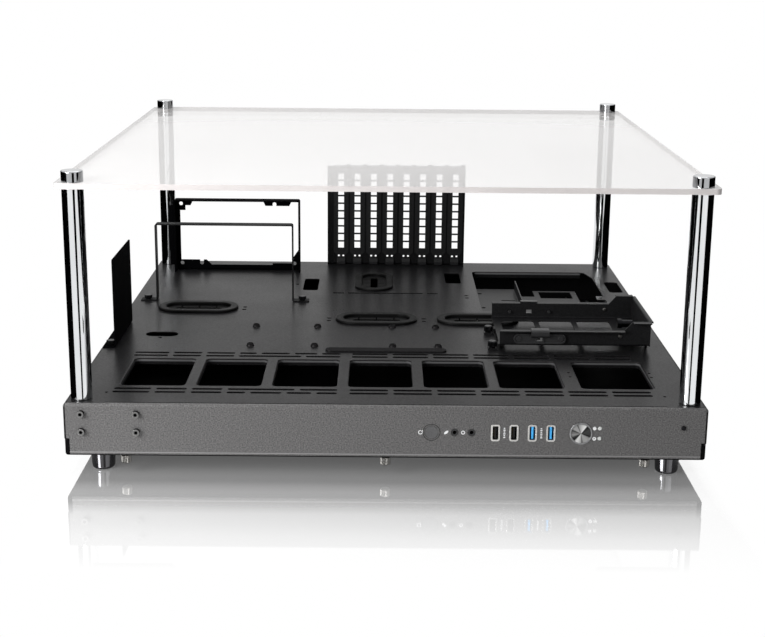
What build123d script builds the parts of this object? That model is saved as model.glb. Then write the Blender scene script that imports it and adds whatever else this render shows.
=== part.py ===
from build123d import *
import os

# Open air test bench, lying on its feet.
# Millimetres, +X to the right along the front panel, +Y to the rear, +Z up.
# The origin is on the floor, under the middle of the bench.

# Box: a folded deck over a shallow pan
deck_width = 568.0
deck_depth = 570.0
box_height = 48.6
sheet = 1.2
bend = 2.4
corner_relief = 3.0
rear_return = 16.0
cover_sheet = 1.0
cover_wall = 15.6
cover_tab = 4.2
cover_tab_setback = 0.8
cover_tab_run = 20.0
seam = 0.4
fit = 0.3

# Front panel
panel_return = 4.0
front_groove = 1.4
panel_corner_return = 3.0
panel_return_span = 496.0
panel_foot = 16.0
notch_width = 4.6
notch_height = 16.4

# Feet and the thumbscrews of the bottom cover
foot_height = 19.2
foot_top = 22.8
foot_bottom = 20.4
foot_round = 3.0
foot_inset_x = 29.0
foot_inset_y = 25.0
foot_recess = 6.0
foot_recess_bore = 10.0
cover_screw_span = 462.0
cover_screw_inset = 6.2
cover_screw_head = 8.4
cover_screw_height = 7.8

# Posts, caps and the acrylic sheet
post_diameter = 19.0
post_height = 189.7
post_inset_x = 13.6
post_inset_y = 16.5
post_chamfer = 0.6
post_spigot = 8.0
spigot_reach = 5.0
cap_height = 9.8
cap_round = 1.2
acrylic_thickness = 5.0
acrylic_overhang = 0.85
acrylic_setback = 5.25
acrylic_corner = 6.0

# Radiator windows and the rows of fan slots
window_width = 59.4
window_length = 85.0
window_front = 55.0
window_first = -243.8
window_pitch = 69.76
window_count = 6
last_window_width = 67.3
last_window_gap = 15.6
window_corner = 5.0
window_lip = 5.0
window_round = 1.0
fan_hole_120 = 105.0
fan_hole_140 = 124.5
slot_width = 5.0
slot_row_left = -247.0
slot_row_right = 241.5
slot_bridge = 4.4
middle_bridge = 11.0
middle_bridge_x = -38.5
left_bridge_x = -211.0
left_bridge_pitch = 32.5
left_bridge_count = 3
right_bridge_x = 4.6
right_bridge_pitch = 39.75
right_bridge_count = 6
inner_row_bridge_x = -80.5
outer_row_bridge_xs = (-124.6, -92.0, -65.0)
bar_hole = 3.0
bar_hole_pitch = 13.0

# Cable grommets
grommet_length = 88.0
grommet_width = 45.0
grommet_rim = 5.0
grommet_rise = 3.0
grommet_under = 2.0
grommet_ring = 8.5
grommet_round = 1.4
grommet_web = 1.4
grommet_web_depth = 3.7
grommet_mouth = (51.4, 8.4)
grommet_slit = 1.2
grommet_slit_pitch = 19.0
grommet_slit_count = 3
left_grommet_x = 77.5
left_grommet_y = 334.0
middle_grommet_x = -9.5
middle_grommet_y = 290.0
right_grommet_gap = 21.0
rear_grommet_x = -13.0
rear_grommet_y = 459.0

# Other openings of the deck
oval_length = 33.5
oval_width = 17.0
oval_x = 53.3
oval_y = 226.5
pocket_corner = 4.0
left_pocket = (17.5, 57.0)
left_pocket_x = 196.8
left_pocket_y = 447.5
middle_pocket = (18.5, 53.0)
middle_pocket_x = 202.5
middle_pocket_y = 484.5
right_pocket = (16.0, 51.0)
right_pocket_x = 14.0
right_pocket_y = 445.0
cutout_left = 177.0
cutout_right = 32.0
cutout_front = 330.0
cutout_rear = 51.0
cutout_corner = 4.0
cutout_step_x = 7.0
cutout_step_y = 29.0
cutout_lip = 6.0
cutout_tab = (9.0, 17.0)
cutout_tab_y = 393.5
board_hole = 4.0
board_hole_first_x = -71.4
board_hole_front = 186.75
board_hole_pitch_y = 72.39
board_hole_steps = (-64.6, 0.0, 78.74, 124.46)
boss_base = 8.4
boss_top = 5.8
boss_rise = 2.8
rib_length = 121.0
rib_width = 12.0
rib_rise = 1.8
rib_x = 0.5
rib_y = 172.0
riser_slot_y = 407.0
riser_slot_width = 4.0
riser_bridge = 5.0
riser_bridge_span = 91.0
oval_hole = 4.0
oval_hole_front = 13.5
tie_slot = (5.0, 4.2)
tie_slot_pitch = 10.4
tie_slot_gap = 7.0
pocket_hole = 4.0
pocket_hole_gap = 9.5
cutout_tab_hole = 4.0
cutout_tie_out = 13.5
corner_hole = 3.0
corner_hole_x = 32.3
corner_hole_y = 33.2

# Power supply frame and strap, made for a 150 by 86 supply with its four rear screws
supply_width = 150.0
supply_height = 86.0
supply_clearance = 0.3
supply_lift = 2.5
supply_x = 103.5
supply_screw_span = 138.0
supply_screw_inner = 114.0
supply_screw_rows = 74.0
supply_screw_hole = 4.6
strap_clearance = 0.8
strap_head_room = 0.9
strap_front = 363.0
strap_width = 12.0
strap_foot = 17.5
strap_screw_out = 10.0
frame_rear = 49.0
frame_depth = 16.0
frame_head_room = 1.8
frame_left_flange = 5.0
frame_right_flange = 1.5
frame_top_flange = 2.5
frame_bottom_flange = 6.3
frame_foot = 12.0
frame_wing = 4.6
frame_wing_bottom = 10.0
frame_wing_top = 83.0
ear_top_left = (6.0, 14.0, 5.0)
ear_top_right = (13.5, 20.5, 5.0)
ear_bottom_left = (6.0, 36.0, 6.2)
ear_bottom_right = (27.0, 5.0, 2.2)
ear_corner = (11.5, 13.5)
ear_gusset = (8.0, 19.0)
frame_screw_span = 100.0

# Side support plate
plate_front = 174.0
plate_length = 98.5
plate_height = 90.0
plate_x = 15.0
plate_foot = 13.0
plate_corner = 2.0
plate_screw_inset = 9.0

# Card bracket and slot covers
bracket_left = -72.0
bracket_width = 171.0
bracket_height = 123.0
bracket_setback = 14.0
bracket_flange = 12.0
bracket_screw_inset = 30.0
slot_count = 8
slot_pitch = 20.32
slot_centre = 16.0
slot_opening = 11.4
slot_opening_bottom = 17.3
slot_opening_top = 117.5
slot_screw_out = 9.2
slot_cover_width = 18.42
slot_cover_sheet = 0.9
slot_cover_tab = 11.0
slot_cover_shoulder = 16.0
slot_cover_tongue = 10.2
slot_cover_clear = 0.6
panel_emboss = 0.5
panel_width = 11.6
panel_bottom = 17.0
panel_top = 116.0
tongue_jog = 2.4
tongue_jog_top = 8.0
tongue_jog_bottom = 4.5
vent_count = 10
vent_width = 7.1
vent_height = 7.6
vent_pitch = 9.58
vent_first = 25.3
pin_hole = 2.6
pin_hole_span = 5.6
pin_hole_z = 11.2

# Drive tray for one 3.5 inch drive
drive_width = 101.6
drive_clearance = 1.0
tray_left = 170.0
tray_right = 19.5
tray_front = 178.0
tray_lift = 5.0
tray_wall = 16.3
tray_end_wall = 25.2
tray_slope_start = 26.0
tray_slope_end = 18.0
tray_hem = 6.0
tray_end_hem = 2.4
tray_opening = 34.8
tray_opening_gap = 5.2
tray_opening_first = 8.0
tray_opening_count = 3
tray_opening_margin = 15.0
tray_opening_corner = 4.0
tray_foot_length = 10.0
tray_foot_width = 10.0
tray_foot_ys = (6.0, 63.0)
tray_tab_width = 10.0
tray_tab_ys = (20.0, 86.0)
tray_tab_drop = 2.0
tray_screw_out = 6.8
tray_screw_head = 8.4
tray_screw_height = 6.0
clip_length = 52.0
clip_height = 9.8
clip_thickness = 3.2
clip_x = 39.7
clip_z = 2.7
clip_border = 1.3
clip_recess_depth = 1.1
clip_hub = 9.0
clip_boss = 5.4
clip_slot = (6.0, 4.0)
clip_hook = 18.0
clip_hook_sheet = 1.4
clip_hook_gap = 0.5
clip_pin = 3.0
clip_pin_span = 42.0
clip_pin_reach = 3.0
end_screw_barrel = 7.6
end_screw_length = 11.3
end_screw_head = 10.0
end_screw_head_length = 4.4
end_screw_shank = 3.0
end_screw_reach = 8.0
end_screw_z = 9.3

# Inner drive bracket, hung below the large cut-out
shelf_drop = 13.0
shelf_left = 186.0
shelf_leg = 60.0
shelf_leg_rear = 86.0
shelf_wall_top = 2.5
shelf_front = 322.0
shelf_bar = 126.5
shelf_frame_left = 80.0
shelf_frame_width = 51.0
shelf_frame_rear = 94.0
shelf_window_side = 6.5
shelf_window_rear = 5.0
shelf_window_length = 30.0
shelf_hole = 5.0
shelf_hole_x = 15.5
shelf_hole_ys = (72.4, 138.5)
shelf_slit = (16.5, 3.0)
shelf_slit_x = 46.8
shelf_slit_y = 106.7

# Front panel fittings, measured from the middle of the panel
io_drop = 23.8
board_gap = 15.0
board_sheet = 1.6
board_margin = 7.0
board_height = 26.0
board_post = 5.0
switch_side = 6.0
switch_height = 3.5
power_x = 172.5
power_button = 17.0
power_ring = 20.2
power_ring_wall = 1.0
power_ring_rise = 0.9
power_travel = 1.5
power_dish = 0.5
reset_x = 40.5
reset_button = 11.8
reset_travel = 1.0
button_collar = 1.4
button_collar_height = 1.2
button_stem = 4.0
usb_first_x = 97.0
usb_pitch = 16.3
usb_count = 4
usb_width = 5.9
usb_height = 13.3
usb_wall = 0.4
usb_rim = 1.1
usb_rim_rise = 0.5
usb_corner = 1.2
usb_tongue = 1.9
usb_tongue_height = 11.2
usb_tongue_setback = 1.0
usb_base = 4.0
jack_first_x = 61.0
jack_pitch = 15.0
jack_count = 2
jack_diameter = 6.4
jack_bore = 3.6
lamp_x = 189.0
lamp_pitch = 9.5
lamp_diameter = 3.5
lamp_flange = 5.0
lamp_flange_height = 1.0
stand_screw_x = (15.5, 64.0)
stand_screw_drop = (9.0, 25.5)
stand_head = 6.2
stand_head_height = 3.6
stand_hex = 3.0
stand_hex_depth = 1.8
panel_screw_x = 21.0
panel_screw_drop = 18.0
panel_screw_head = 4.4
panel_screw_height = 1.4

# Screws
thumb_head = 8.0
thumb_head_height = 3.8
thumb_neck = 6.0
thumb_neck_height = 0.8
screw_shank = 3.0
screw_head = 5.6
screw_head_height = 1.9
screw_bite = 4.0
post_screw_shank = 5.0
post_screw_head = 9.5
post_screw_head_height = 3.0
post_screw_bite = 16.0
foot_screw_shank = 4.0
foot_screw_head = 8.0
foot_screw_head_height = 2.6
foot_screw_bite = 5.0

# Planes and edges that the pieces share
half = deck_width / 2
deck_top = foot_height + box_height
deck_under = deck_top - sheet
front_y = (stand_head_height - deck_depth) / 2
rear_y = front_y + deck_depth
panel_back = front_y + sheet
cover_top = foot_height + cover_sheet
side_flange_end = foot_height + cover_wall + seam
acrylic_bottom = deck_top + post_height
acrylic_top = acrylic_bottom + acrylic_thickness
io_z = deck_top - io_drop
board_front = panel_back + board_gap
fan_centre = window_front + window_length / 2
corners = [("front_left", -1, -1), ("front_right", 1, -1), ("rear_left", -1, 1), ("rear_right", 1, 1)]


# Places measured from the edges of the deck
def behind_front(distance):
    return front_y + distance


def before_rear(distance):
    return rear_y - distance


def from_left(distance):
    return distance - half


def from_right(distance):
    return half - distance


# Shared ways of making a piece
def along_x(profile, start, end):
    return extrude(Plane.YZ.offset(start) * profile, amount=end - start)


def along_y(profile, start, end):
    return extrude(Plane.XZ.offset(-end) * profile, amount=end - start)


def along_z(profile, start, end):
    return extrude(Plane.XY.offset(start) * profile, amount=end - start)


def outline(*points):
    return make_face(Polyline(*points, close=True))


def slab(x0, x1, y0, y1, z0, z1):
    return along_z(outline((x0, y0), (x1, y0), (x1, y1), (x0, y1)), z0, z1)


def rod_z(x, y, diameter, start, end):
    return along_z(Pos(x, y) * Circle(diameter / 2), start, end)


def rod_y(x, z, diameter, start, end):
    return along_y(Pos(x, z) * Circle(diameter / 2), start, end)


def turned(*points):
    return revolve(Plane.XZ * outline(*points), axis=Axis.Z)


# Section of a folded sheet: the points follow one face, the sheet lies to their left
def folded(points, thickness, radius):
    face = [Vector(*point) for point in points]
    ways = [(b - a).normalized() for a, b in zip(face, face[1:])]
    sides = [Vector(-way.Y, way.X) for way in ways]
    back = [face[0] + sides[0] * thickness]
    face_radii = []
    back_radii = []
    for i in range(1, len(face) - 1):
        mitre = 1 + sides[i - 1].dot(sides[i])
        back.append(face[i] + (sides[i - 1] + sides[i]) * (thickness / mitre))
        to_back = ways[i - 1].cross(ways[i]).Z > 0
        face_radii.append(radius if to_back else radius - thickness)
        back_radii.append(radius - thickness if to_back else radius)
    back.append(face[-1] + sides[-1] * thickness)
    edges = FilletPolyline(*face, radius=face_radii) + FilletPolyline(*back, radius=back_radii)
    return make_face(edges + Line(face[0], back[0]) + Line(face[-1], back[-1]))


# Screws stand on z = 0 with the head up and the shank down
def thumbscrew(head, head_height, neck, neck_height, shank, reach):
    edge = head_height / 8
    return turned(
        (0, -reach), (shank / 2, -reach), (shank / 2, 0), (neck / 2, 0), (neck / 2, neck_height),
        (head / 2 - edge, neck_height), (head / 2, neck_height + edge),
        (head / 2, neck_height + head_height - edge), (head / 2 - edge, neck_height + head_height),
        (0, neck_height + head_height))


def pan_screw(head, head_height, shank, reach):
    body = turned(
        (0, -reach), (shank / 2, -reach), (shank / 2, 0), (head / 2, 0), (head / 2, head_height),
        (0, head_height))
    return fillet(body.edges().group_by(Axis.Z)[-1], head_height * 0.6)


def bracket_thumbscrew(x, y, z):
    reach = z - deck_under + screw_bite
    screw = thumbscrew(thumb_head, thumb_head_height, thumb_neck, thumb_neck_height, screw_shank, reach)
    return Pos(x, y, z) * screw


def tray_thumbscrew(x, y):
    z = deck_top + sheet
    reach = 2 * sheet + screw_bite
    screw = thumbscrew(tray_screw_head, tray_screw_height, thumb_neck, thumb_neck_height, screw_shank, reach)
    return Pos(x, y, z) * screw


def deck_screw(x, y, z):
    return Pos(x, y, z) * pan_screw(screw_head, screw_head_height, screw_shank, z - deck_under + screw_bite)


def slot_screw(x):
    z = bracket_top + slot_cover_sheet
    reach = slot_cover_sheet + sheet + screw_bite
    return Pos(x, slot_screw_y, z) * pan_screw(screw_head, screw_head_height, screw_shank, reach)


def screw_hole(x, y, start, end, shank=screw_shank):
    return rod_z(x, y, shank + 2 * fit, start, end)


# Places that several pieces line up with
def post_places():
    return [(name, sx * (half - post_inset_x), sy * (deck_depth / 2 - post_inset_y) + front_y + deck_depth / 2)
            for name, sx, sy in corners]


def foot_places():
    return [(name, sx * (half - foot_inset_x), sy * (deck_depth / 2 - foot_inset_y) + front_y + deck_depth / 2)
            for name, sx, sy in corners]


def cover_screw_places():
    rows = (behind_front(cover_screw_inset), before_rear(cover_screw_inset))
    return [(x * cover_screw_span / 2, y) for y in rows for x in (-1, 0, 1)]


supply_half = supply_width / 2 + supply_clearance
supply_mid = from_left(supply_x)
supply_screw_mid = deck_top + supply_lift + supply_height / 2
frame_half = supply_half + sheet
frame_top = deck_top + supply_height + frame_head_room + sheet
strap_half = supply_width / 2 + strap_clearance + sheet
strap_top = deck_top + supply_height + strap_head_room + sheet
strap_mid_y = behind_front(strap_front) + strap_width / 2
strap_screw_x = strap_half + strap_screw_out
frame_back = before_rear(frame_rear)
frame_front_y = frame_back - frame_depth
frame_screw_y = frame_back + frame_foot / 2
plate_face = from_left(plate_x)
bracket_y = before_rear(bracket_setback)
bracket_right = bracket_left + bracket_width
bracket_top = deck_top + bracket_height
slot_xs = [slot_centre + slot_pitch * (i - (slot_count - 1) / 2) for i in range(slot_count)]
slot_screw_y = bracket_y + bracket_flange / 2
tray_x0 = from_right(tray_left)
tray_x1 = from_right(tray_right)
tray_y0 = behind_front(tray_front)
tray_y1 = tray_y0 + drive_width + 2 * (drive_clearance + sheet)
tray_z = deck_top + tray_lift
tray_rim = tray_z + tray_wall
tray_end_rim = tray_z + tray_end_wall
tray_mid_y = (tray_y0 + tray_y1) / 2
clip_mid_z = tray_z + clip_z + clip_height / 2
power_sleeve = power_button + 2 * (fit + power_ring_wall)
sleeve_end = panel_back + 2 * sheet
grommet_places = [
    ("left", from_left(left_grommet_x), behind_front(left_grommet_y), 0),
    ("middle", middle_grommet_x, behind_front(middle_grommet_y), 0),
    ("right", middle_grommet_x + grommet_length + right_grommet_gap, behind_front(middle_grommet_y), 0),
    ("rear", rear_grommet_x, behind_front(rear_grommet_y), 90)]
usb_xs = [usb_first_x + usb_pitch * i for i in range(usb_count)]
jack_xs = [jack_first_x + jack_pitch * i for i in range(jack_count)]
lamp_zs = [io_z + lamp_pitch / 2, io_z - lamp_pitch / 2]
stand_screw_places = [(from_left(x), deck_top - drop) for x in stand_screw_x for drop in stand_screw_drop]
panel_screw_place = (from_right(panel_screw_x), deck_top - panel_screw_drop)
board_post_xs = [(reset_x + jack_xs[0]) / 2, (usb_xs[-1] + power_x) / 2]


def strap_screw_places():
    return [(supply_mid + side * strap_screw_x, strap_mid_y) for side in (-1, 1)]


def plate_screw_places():
    ends = (plate_screw_inset, plate_length - plate_screw_inset)
    return [(plate_face - plate_foot / 2, behind_front(plate_front) + end) for end in ends]


def frame_screw_places():
    return [(supply_mid + side * frame_screw_span / 2, frame_screw_y) for side in (-1, 1)]


def bracket_screw_places():
    xs = (bracket_left + bracket_screw_inset, bracket_right - bracket_screw_inset)
    return [(x, slot_screw_y) for x in xs]


def tray_screw_places():
    return [(tray_x0 - tray_screw_out, tray_y0 + y) for y in tray_foot_ys]


def tray_tab(y, clear):
    middle = tray_y0 + y
    reach = tray_tab_width / 2 + clear
    return slab(tray_x1 - sheet - clear, tray_x1 + clear, middle - reach, middle + reach,
                deck_under - tray_tab_drop - clear, tray_z + bend)


# Deck: one folded sheet with its windows, slots and cut-outs
def window_spans():
    spans = [(window_first + window_pitch * i, window_width) for i in range(window_count)]
    last = spans[-1][0] + window_width + last_window_gap
    return spans + [(last, last_window_width)]


def slot_row(y, extra):
    left = [(left_bridge_x + left_bridge_pitch * i, slot_bridge) for i in range(left_bridge_count)]
    right = [(right_bridge_x + right_bridge_pitch * i, slot_bridge) for i in range(right_bridge_count)]
    bridges = sorted(left + right + [(x, slot_bridge) for x in extra] + [(middle_bridge_x, middle_bridge)])
    starts = [slot_row_left] + [x + width / 2 for x, width in bridges]
    ends = [x - width / 2 for x, width in bridges] + [slot_row_right]
    return [Pos((a + b) / 2, y) * SlotOverall(b - a, slot_width) for a, b in zip(starts, ends)]


def fan_slots():
    slots = []
    for side in (-1, 1):
        slots += slot_row(behind_front(fan_centre) + side * fan_hole_120 / 2, (inner_row_bridge_x,))
        slots += slot_row(behind_front(fan_centre) + side * fan_hole_140 / 2, outer_row_bridge_xs)
    return slots


def riser_slots():
    ends = [rib_length / 2, (riser_bridge_span + riser_bridge) / 2, (riser_bridge_span - riser_bridge) / 2]
    y = behind_front(riser_slot_y)
    middle = [Pos(rib_x, y) * Rectangle(2 * ends[2], riser_slot_width)]
    sides = [Pos(rib_x + side * (ends[0] + ends[1]) / 2, y) * Rectangle(ends[0] - ends[1], riser_slot_width)
             for side in (-1, 1)]
    return middle + sides


def pockets():
    places = [(left_pocket, from_left(left_pocket_x), left_pocket_y),
              (middle_pocket, from_right(middle_pocket_x), middle_pocket_y),
              (right_pocket, from_right(right_pocket_x), right_pocket_y)]
    return [Pos(x, behind_front(y)) * RectangleRounded(*size, pocket_corner) for size, x, y in places]


def board_places():
    rows = (behind_front(board_hole_front), behind_front(board_hole_front) + board_hole_pitch_y)
    return [(board_hole_first_x + step, y) for y in rows for step in board_hole_steps]


# A boss pressed up out of the sheet, and the hollow that it leaves below
def boss(inset):
    low = deck_under - inset
    flare = deck_top - inset
    high = deck_top + boss_rise - inset
    return turned((0, low), (boss_base / 2 - inset, low), (boss_base / 2 - inset, flare),
                  (boss_top / 2 - inset, high), (0, high))


def bar_holes():
    first, last = window_spans()[-2:]
    xs = ((first[0] + first[1] + last[0]) / 2 + bar_hole / 2, last[0] + last[1] + bar_hole)
    mid = behind_front(fan_centre)
    return [Pos(x, mid + side * bar_hole_pitch / 2) * Circle(bar_hole / 2) for x in xs for side in (-1, 1)]


def small_holes():
    holes = [Pos(from_left(oval_x), behind_front(oval_y - oval_hole_front)) * Circle(oval_hole / 2)]
    out = grommet_length / 2 + tie_slot_gap
    ties = [(from_left(left_grommet_x) + out, left_grommet_y), (middle_grommet_x - out, middle_grommet_y),
            (middle_grommet_x + out, middle_grommet_y), (from_right(cutout_left + cutout_tie_out), cutout_tab_y)]
    for side in (-1, 1):
        holes += [Pos(x, behind_front(y + side * tie_slot_pitch / 2)) * SlotOverall(*tie_slot) for x, y in ties]
    x = from_left(left_pocket_x) - left_pocket[0] / 2 - pocket_hole_gap + pocket_hole / 2
    holes.append(Pos(x, behind_front(left_pocket_y)) * Circle(pocket_hole / 2))
    holes.append(Pos(from_right(cutout_right + cutout_tab[0] / 2), behind_front(cutout_tab_y)) *
                 Circle(cutout_tab_hole / 2))
    for side in (-1, 1):
        holes.append(Pos(side * (half - corner_hole_x), behind_front(corner_hole_y)) * Circle(corner_hole / 2))
    return holes


def cutout_face():
    x0, x1 = from_right(cutout_left), from_right(cutout_right)
    y0, y1 = behind_front(cutout_front), before_rear(cutout_rear)
    face = outline((x0, y0), (x1, y0), (x1, y1 - cutout_step_y), (x1 - cutout_step_x, y1), (x0, y1))
    face = fillet(face.vertices(), cutout_corner)
    tab = Pos(x1 - cutout_tab[0] / 2, behind_front(cutout_tab_y)) * Rectangle(*cutout_tab)
    return face - tab


def screw_circles():
    places = strap_screw_places() + plate_screw_places() + frame_screw_places()
    places += bracket_screw_places() + tray_screw_places()
    holes = [Pos(*place) * Circle(screw_shank / 2 + fit) for place in places]
    return holes + [Pos(x, y) * Circle(post_screw_shank / 2 + fit) for _, x, y in post_places()]


def deck_panel():
    section = folded([(half, side_flange_end), (half, deck_top), (-half, deck_top), (-half, side_flange_end)],
                     sheet, bend)
    deck = along_y(section, front_y + seam, rear_y - corner_relief)
    rear = folded([(rear_y - rear_return, cover_top), (rear_y, cover_top), (rear_y, deck_top),
                   (rear_y - rear_return, deck_top)], sheet, bend)
    deck += along_x(rear, corner_relief - half, half - corner_relief)
    inner = half - sheet
    deck -= slab(-inner, inner, front_y, front_y + panel_corner_return + seam, deck_under - bend, deck_top + bend)
    reach = panel_return_span / 2 + seam
    deck -= slab(-reach, reach, front_y, front_y + panel_return + front_groove, deck_under - bend, deck_top + bend)
    rib = Pos(rib_x, behind_front(rib_y)) * SlotOverall(rib_length, rib_width)
    deck += along_z(rib, deck_under, deck_top + rib_rise)
    deck = fillet(deck.edges().group_by(Axis.Z)[-1], rib_rise / 2)
    hollow = Pos(rib_x, behind_front(rib_y)) * SlotOverall(rib_length - 2 * sheet, rib_width - 2 * sheet)
    deck += [Pos(*place) * boss(0) for place in board_places()]
    deck -= [Pos(*place) * boss(sheet) for place in board_places()]
    cuts = fan_slots() + riser_slots() + pockets() + bar_holes() + screw_circles() + small_holes()
    cuts += [Pos(*place) * Circle(board_hole / 2) for place in board_places()]
    cuts.append(Pos(from_left(oval_x), behind_front(oval_y)) * SlotOverall(oval_length, oval_width))
    for _, x, y, turn in grommet_places:
        neck = (grommet_length - 2 * grommet_rim, grommet_width - 2 * grommet_rim)
        cuts.append(Pos(x, y) * SlotOverall(*neck, rotation=turn))
    tools = [along_z(cut, deck_under - bend, deck_top + boss_rise + sheet) for cut in cuts]
    tools.append(along_z(hollow, deck_under - bend, deck_top + rib_rise - sheet))
    tools += [screw_hole(x, y, foot_height, cover_top + 2 * sheet) for x, y in cover_screw_places()[3:]]
    tools += [tray_tab(y, fit) for y in tray_tab_ys]
    x1, y1 = from_right(cutout_right), before_rear(cutout_rear)
    lip = folded([(y1, deck_under - cutout_lip), (y1, deck_top), (y1 + bend + sheet, deck_top)][::-1], sheet, bend)
    cutout = along_z(cutout_face(), deck_under - bend, deck_top + bend)
    deck = deck - tools - cutout
    lip_start, lip_end = from_right(cutout_left) + cutout_corner, x1 - cutout_step_x - cutout_corner
    deck -= slab(lip_start, lip_end, y1 - bend, y1 + bend + sheet, deck_under - bend, deck_top + bend)
    deck += along_x(lip, lip_start, lip_end)
    for x, width in window_spans():
        deck = pierce_window(deck, x + width / 2, width)
    return deck


# A radiator window with its edge drawn down into a short collar
def pierce_window(deck, x, width):
    place = Pos(x, behind_front(window_front) + window_length / 2)
    hole = place * RectangleRounded(width, window_length, window_corner)
    outer = place * RectangleRounded(width + 2 * sheet, window_length + 2 * sheet, window_corner + sheet)
    collar = along_z(outer - hole, deck_under - window_lip, deck_top)
    mouth = collar.faces().sort_by(Axis.Z)[-1].inner_wires()[0].edges()
    collar = fillet(mouth, window_round)
    return deck - along_z(outer, deck_under - sheet, deck_top + sheet) + collar


# Front panel: a C-shaped fold, notched at its lower corners
def front_panel():
    section = folded([(front_y + panel_return, deck_top), (front_y, deck_top), (front_y, cover_top),
                      (front_y + panel_foot, cover_top)], sheet, bend)
    inner = half - sheet - seam
    panel = along_x(section, -inner, inner)
    for side in (-1, 1):
        x0, x1 = sorted((side * panel_return_span / 2, side * half))
        panel -= slab(x0, x1, front_y + panel_corner_return, front_y + panel_return + seam,
                      deck_under - bend, deck_top + bend)
        x0, x1 = sorted((side * (half - notch_width), side * half))
        panel -= slab(x0, x1, front_y - bend, front_y + panel_foot + seam, foot_height, foot_height + notch_height)
    for x in board_post_xs:
        panel += rod_y(x, io_z, board_post, panel_back, board_front)
    holes = [(x, z, screw_shank + 2 * fit) for x, z in stand_screw_places]
    holes.append((*panel_screw_place, screw_shank + 2 * fit))
    holes.append((power_x, io_z, power_sleeve + 2 * fit))
    holes.append((reset_x, io_z, reset_button + 2 * fit))
    holes += [(x, io_z, jack_diameter + 2 * fit) for x in jack_xs]
    holes += [(lamp_x, z, lamp_diameter + 2 * fit) for z in lamp_zs]
    tools = [rod_y(x, z, diameter, front_y - sheet, panel_back + sheet) for x, z, diameter in holes]
    for x in usb_xs:
        hole = Pos(x, io_z) * RectangleRounded(usb_width + 2 * fit, usb_height + 2 * fit, usb_corner + fit)
        tools.append(along_y(hole, front_y - sheet, panel_back + sheet))
    tools += [screw_hole(x, y, foot_height, cover_top + 2 * sheet) for x, y in cover_screw_places()[:3]]
    return panel - tools


# Bottom cover: a pan with short side walls that turn in at the front
def bottom_cover():
    top = foot_height + cover_wall
    section = folded([(-half, top), (-half, foot_height), (half, foot_height), (half, top)], cover_sheet, bend)
    cover = along_y(section, front_y + bend, rear_y - bend)
    y = front_y + cover_tab_setback
    tab = folded([(-half, y + cover_tab_run), (-half, y), (cover_tab - half, y)], cover_sheet, bend)
    corner = along_z(tab, foot_height + bend, top)
    cover += corner
    cover += mirror(corner, about=Plane.YZ)
    tools = [screw_hole(x, y, foot_height - sheet, cover_top + sheet) for x, y in cover_screw_places()]
    tools += [screw_hole(x, y, foot_height - sheet, cover_top + sheet, foot_screw_shank)
              for _, x, y in foot_places()]
    return cover - tools


# Feet, turned with a recess for the screw
def foot():
    bore = foot_screw_shank / 2 + fit
    body = turned((bore, foot_recess), (foot_recess_bore / 2, foot_recess), (foot_recess_bore / 2, 0),
                  (foot_bottom / 2, 0), (foot_top / 2, foot_height), (bore, foot_height))
    rim = body.edges().group_by(Axis.Z)[0].sort_by(SortBy.LENGTH)[-1]
    return fillet(rim, foot_round)


def foot_screw():
    reach = foot_height - foot_recess + cover_sheet + foot_screw_bite
    screw = pan_screw(foot_screw_head, foot_screw_head_height, foot_screw_shank, reach)
    return Pos(0, 0, foot_recess) * Rot(180, 0, 0) * screw


def cover_thumbscrew():
    reach = cover_sheet + sheet + screw_bite
    head = cover_screw_height - thumb_neck_height
    screw = thumbscrew(cover_screw_head, head, thumb_neck, thumb_neck_height, screw_shank, reach)
    return Pos(0, 0, foot_height) * Rot(180, 0, 0) * screw


# Posts: turned rods whose spigot passes through the acrylic into the cap
def post():
    r = post_diameter / 2
    bore = post_screw_shank / 2 + fit
    depth = deck_top + post_screw_bite + fit
    top = acrylic_top + spigot_reach
    spigot = post_spigot / 2
    return turned((0, depth), (bore, depth), (bore, deck_top), (r - post_chamfer, deck_top),
                  (r, deck_top + post_chamfer), (r, acrylic_bottom - post_chamfer),
                  (r - post_chamfer, acrylic_bottom), (spigot, acrylic_bottom), (spigot, top), (0, top))


def post_cap():
    top = acrylic_top + cap_height
    hole = post_spigot / 2 + fit
    body = turned((0, acrylic_top + spigot_reach + fit), (hole, acrylic_top + spigot_reach + fit),
                  (hole, acrylic_top), (post_diameter / 2, acrylic_top), (post_diameter / 2, top), (0, top))
    return fillet(body.edges().group_by(Axis.Z)[-1], cap_round)


def post_screw():
    screw = pan_screw(post_screw_head, post_screw_head_height, post_screw_shank, sheet + post_screw_bite)
    return Pos(0, 0, deck_under) * Rot(180, 0, 0) * screw


def acrylic_panel():
    width = deck_width + 2 * acrylic_overhang
    depth = deck_depth - 2 * acrylic_setback
    face = Pos(0, front_y + deck_depth / 2) * RectangleRounded(width, depth, acrylic_corner)
    face -= [Pos(x, y) * Circle(post_spigot / 2 + fit) for _, x, y in post_places()]
    return along_z(face, acrylic_bottom, acrylic_top)


# Power supply strap: one strip bent over the supply
def psu_strap():
    foot_end = strap_half + strap_foot
    foot_top = deck_top + sheet
    strip = folded([(foot_end, foot_top), (strap_half, foot_top), (strap_half, strap_top), (-strap_half, strap_top),
                    (-strap_half, foot_top), (-foot_end, foot_top)], sheet, bend)
    strap = along_y(Pos(supply_mid, 0) * strip, strap_mid_y - strap_width / 2, strap_mid_y + strap_width / 2)
    return strap - [screw_hole(x, y, deck_under, deck_top + 2 * sheet) for x, y in strap_screw_places()]


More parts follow.
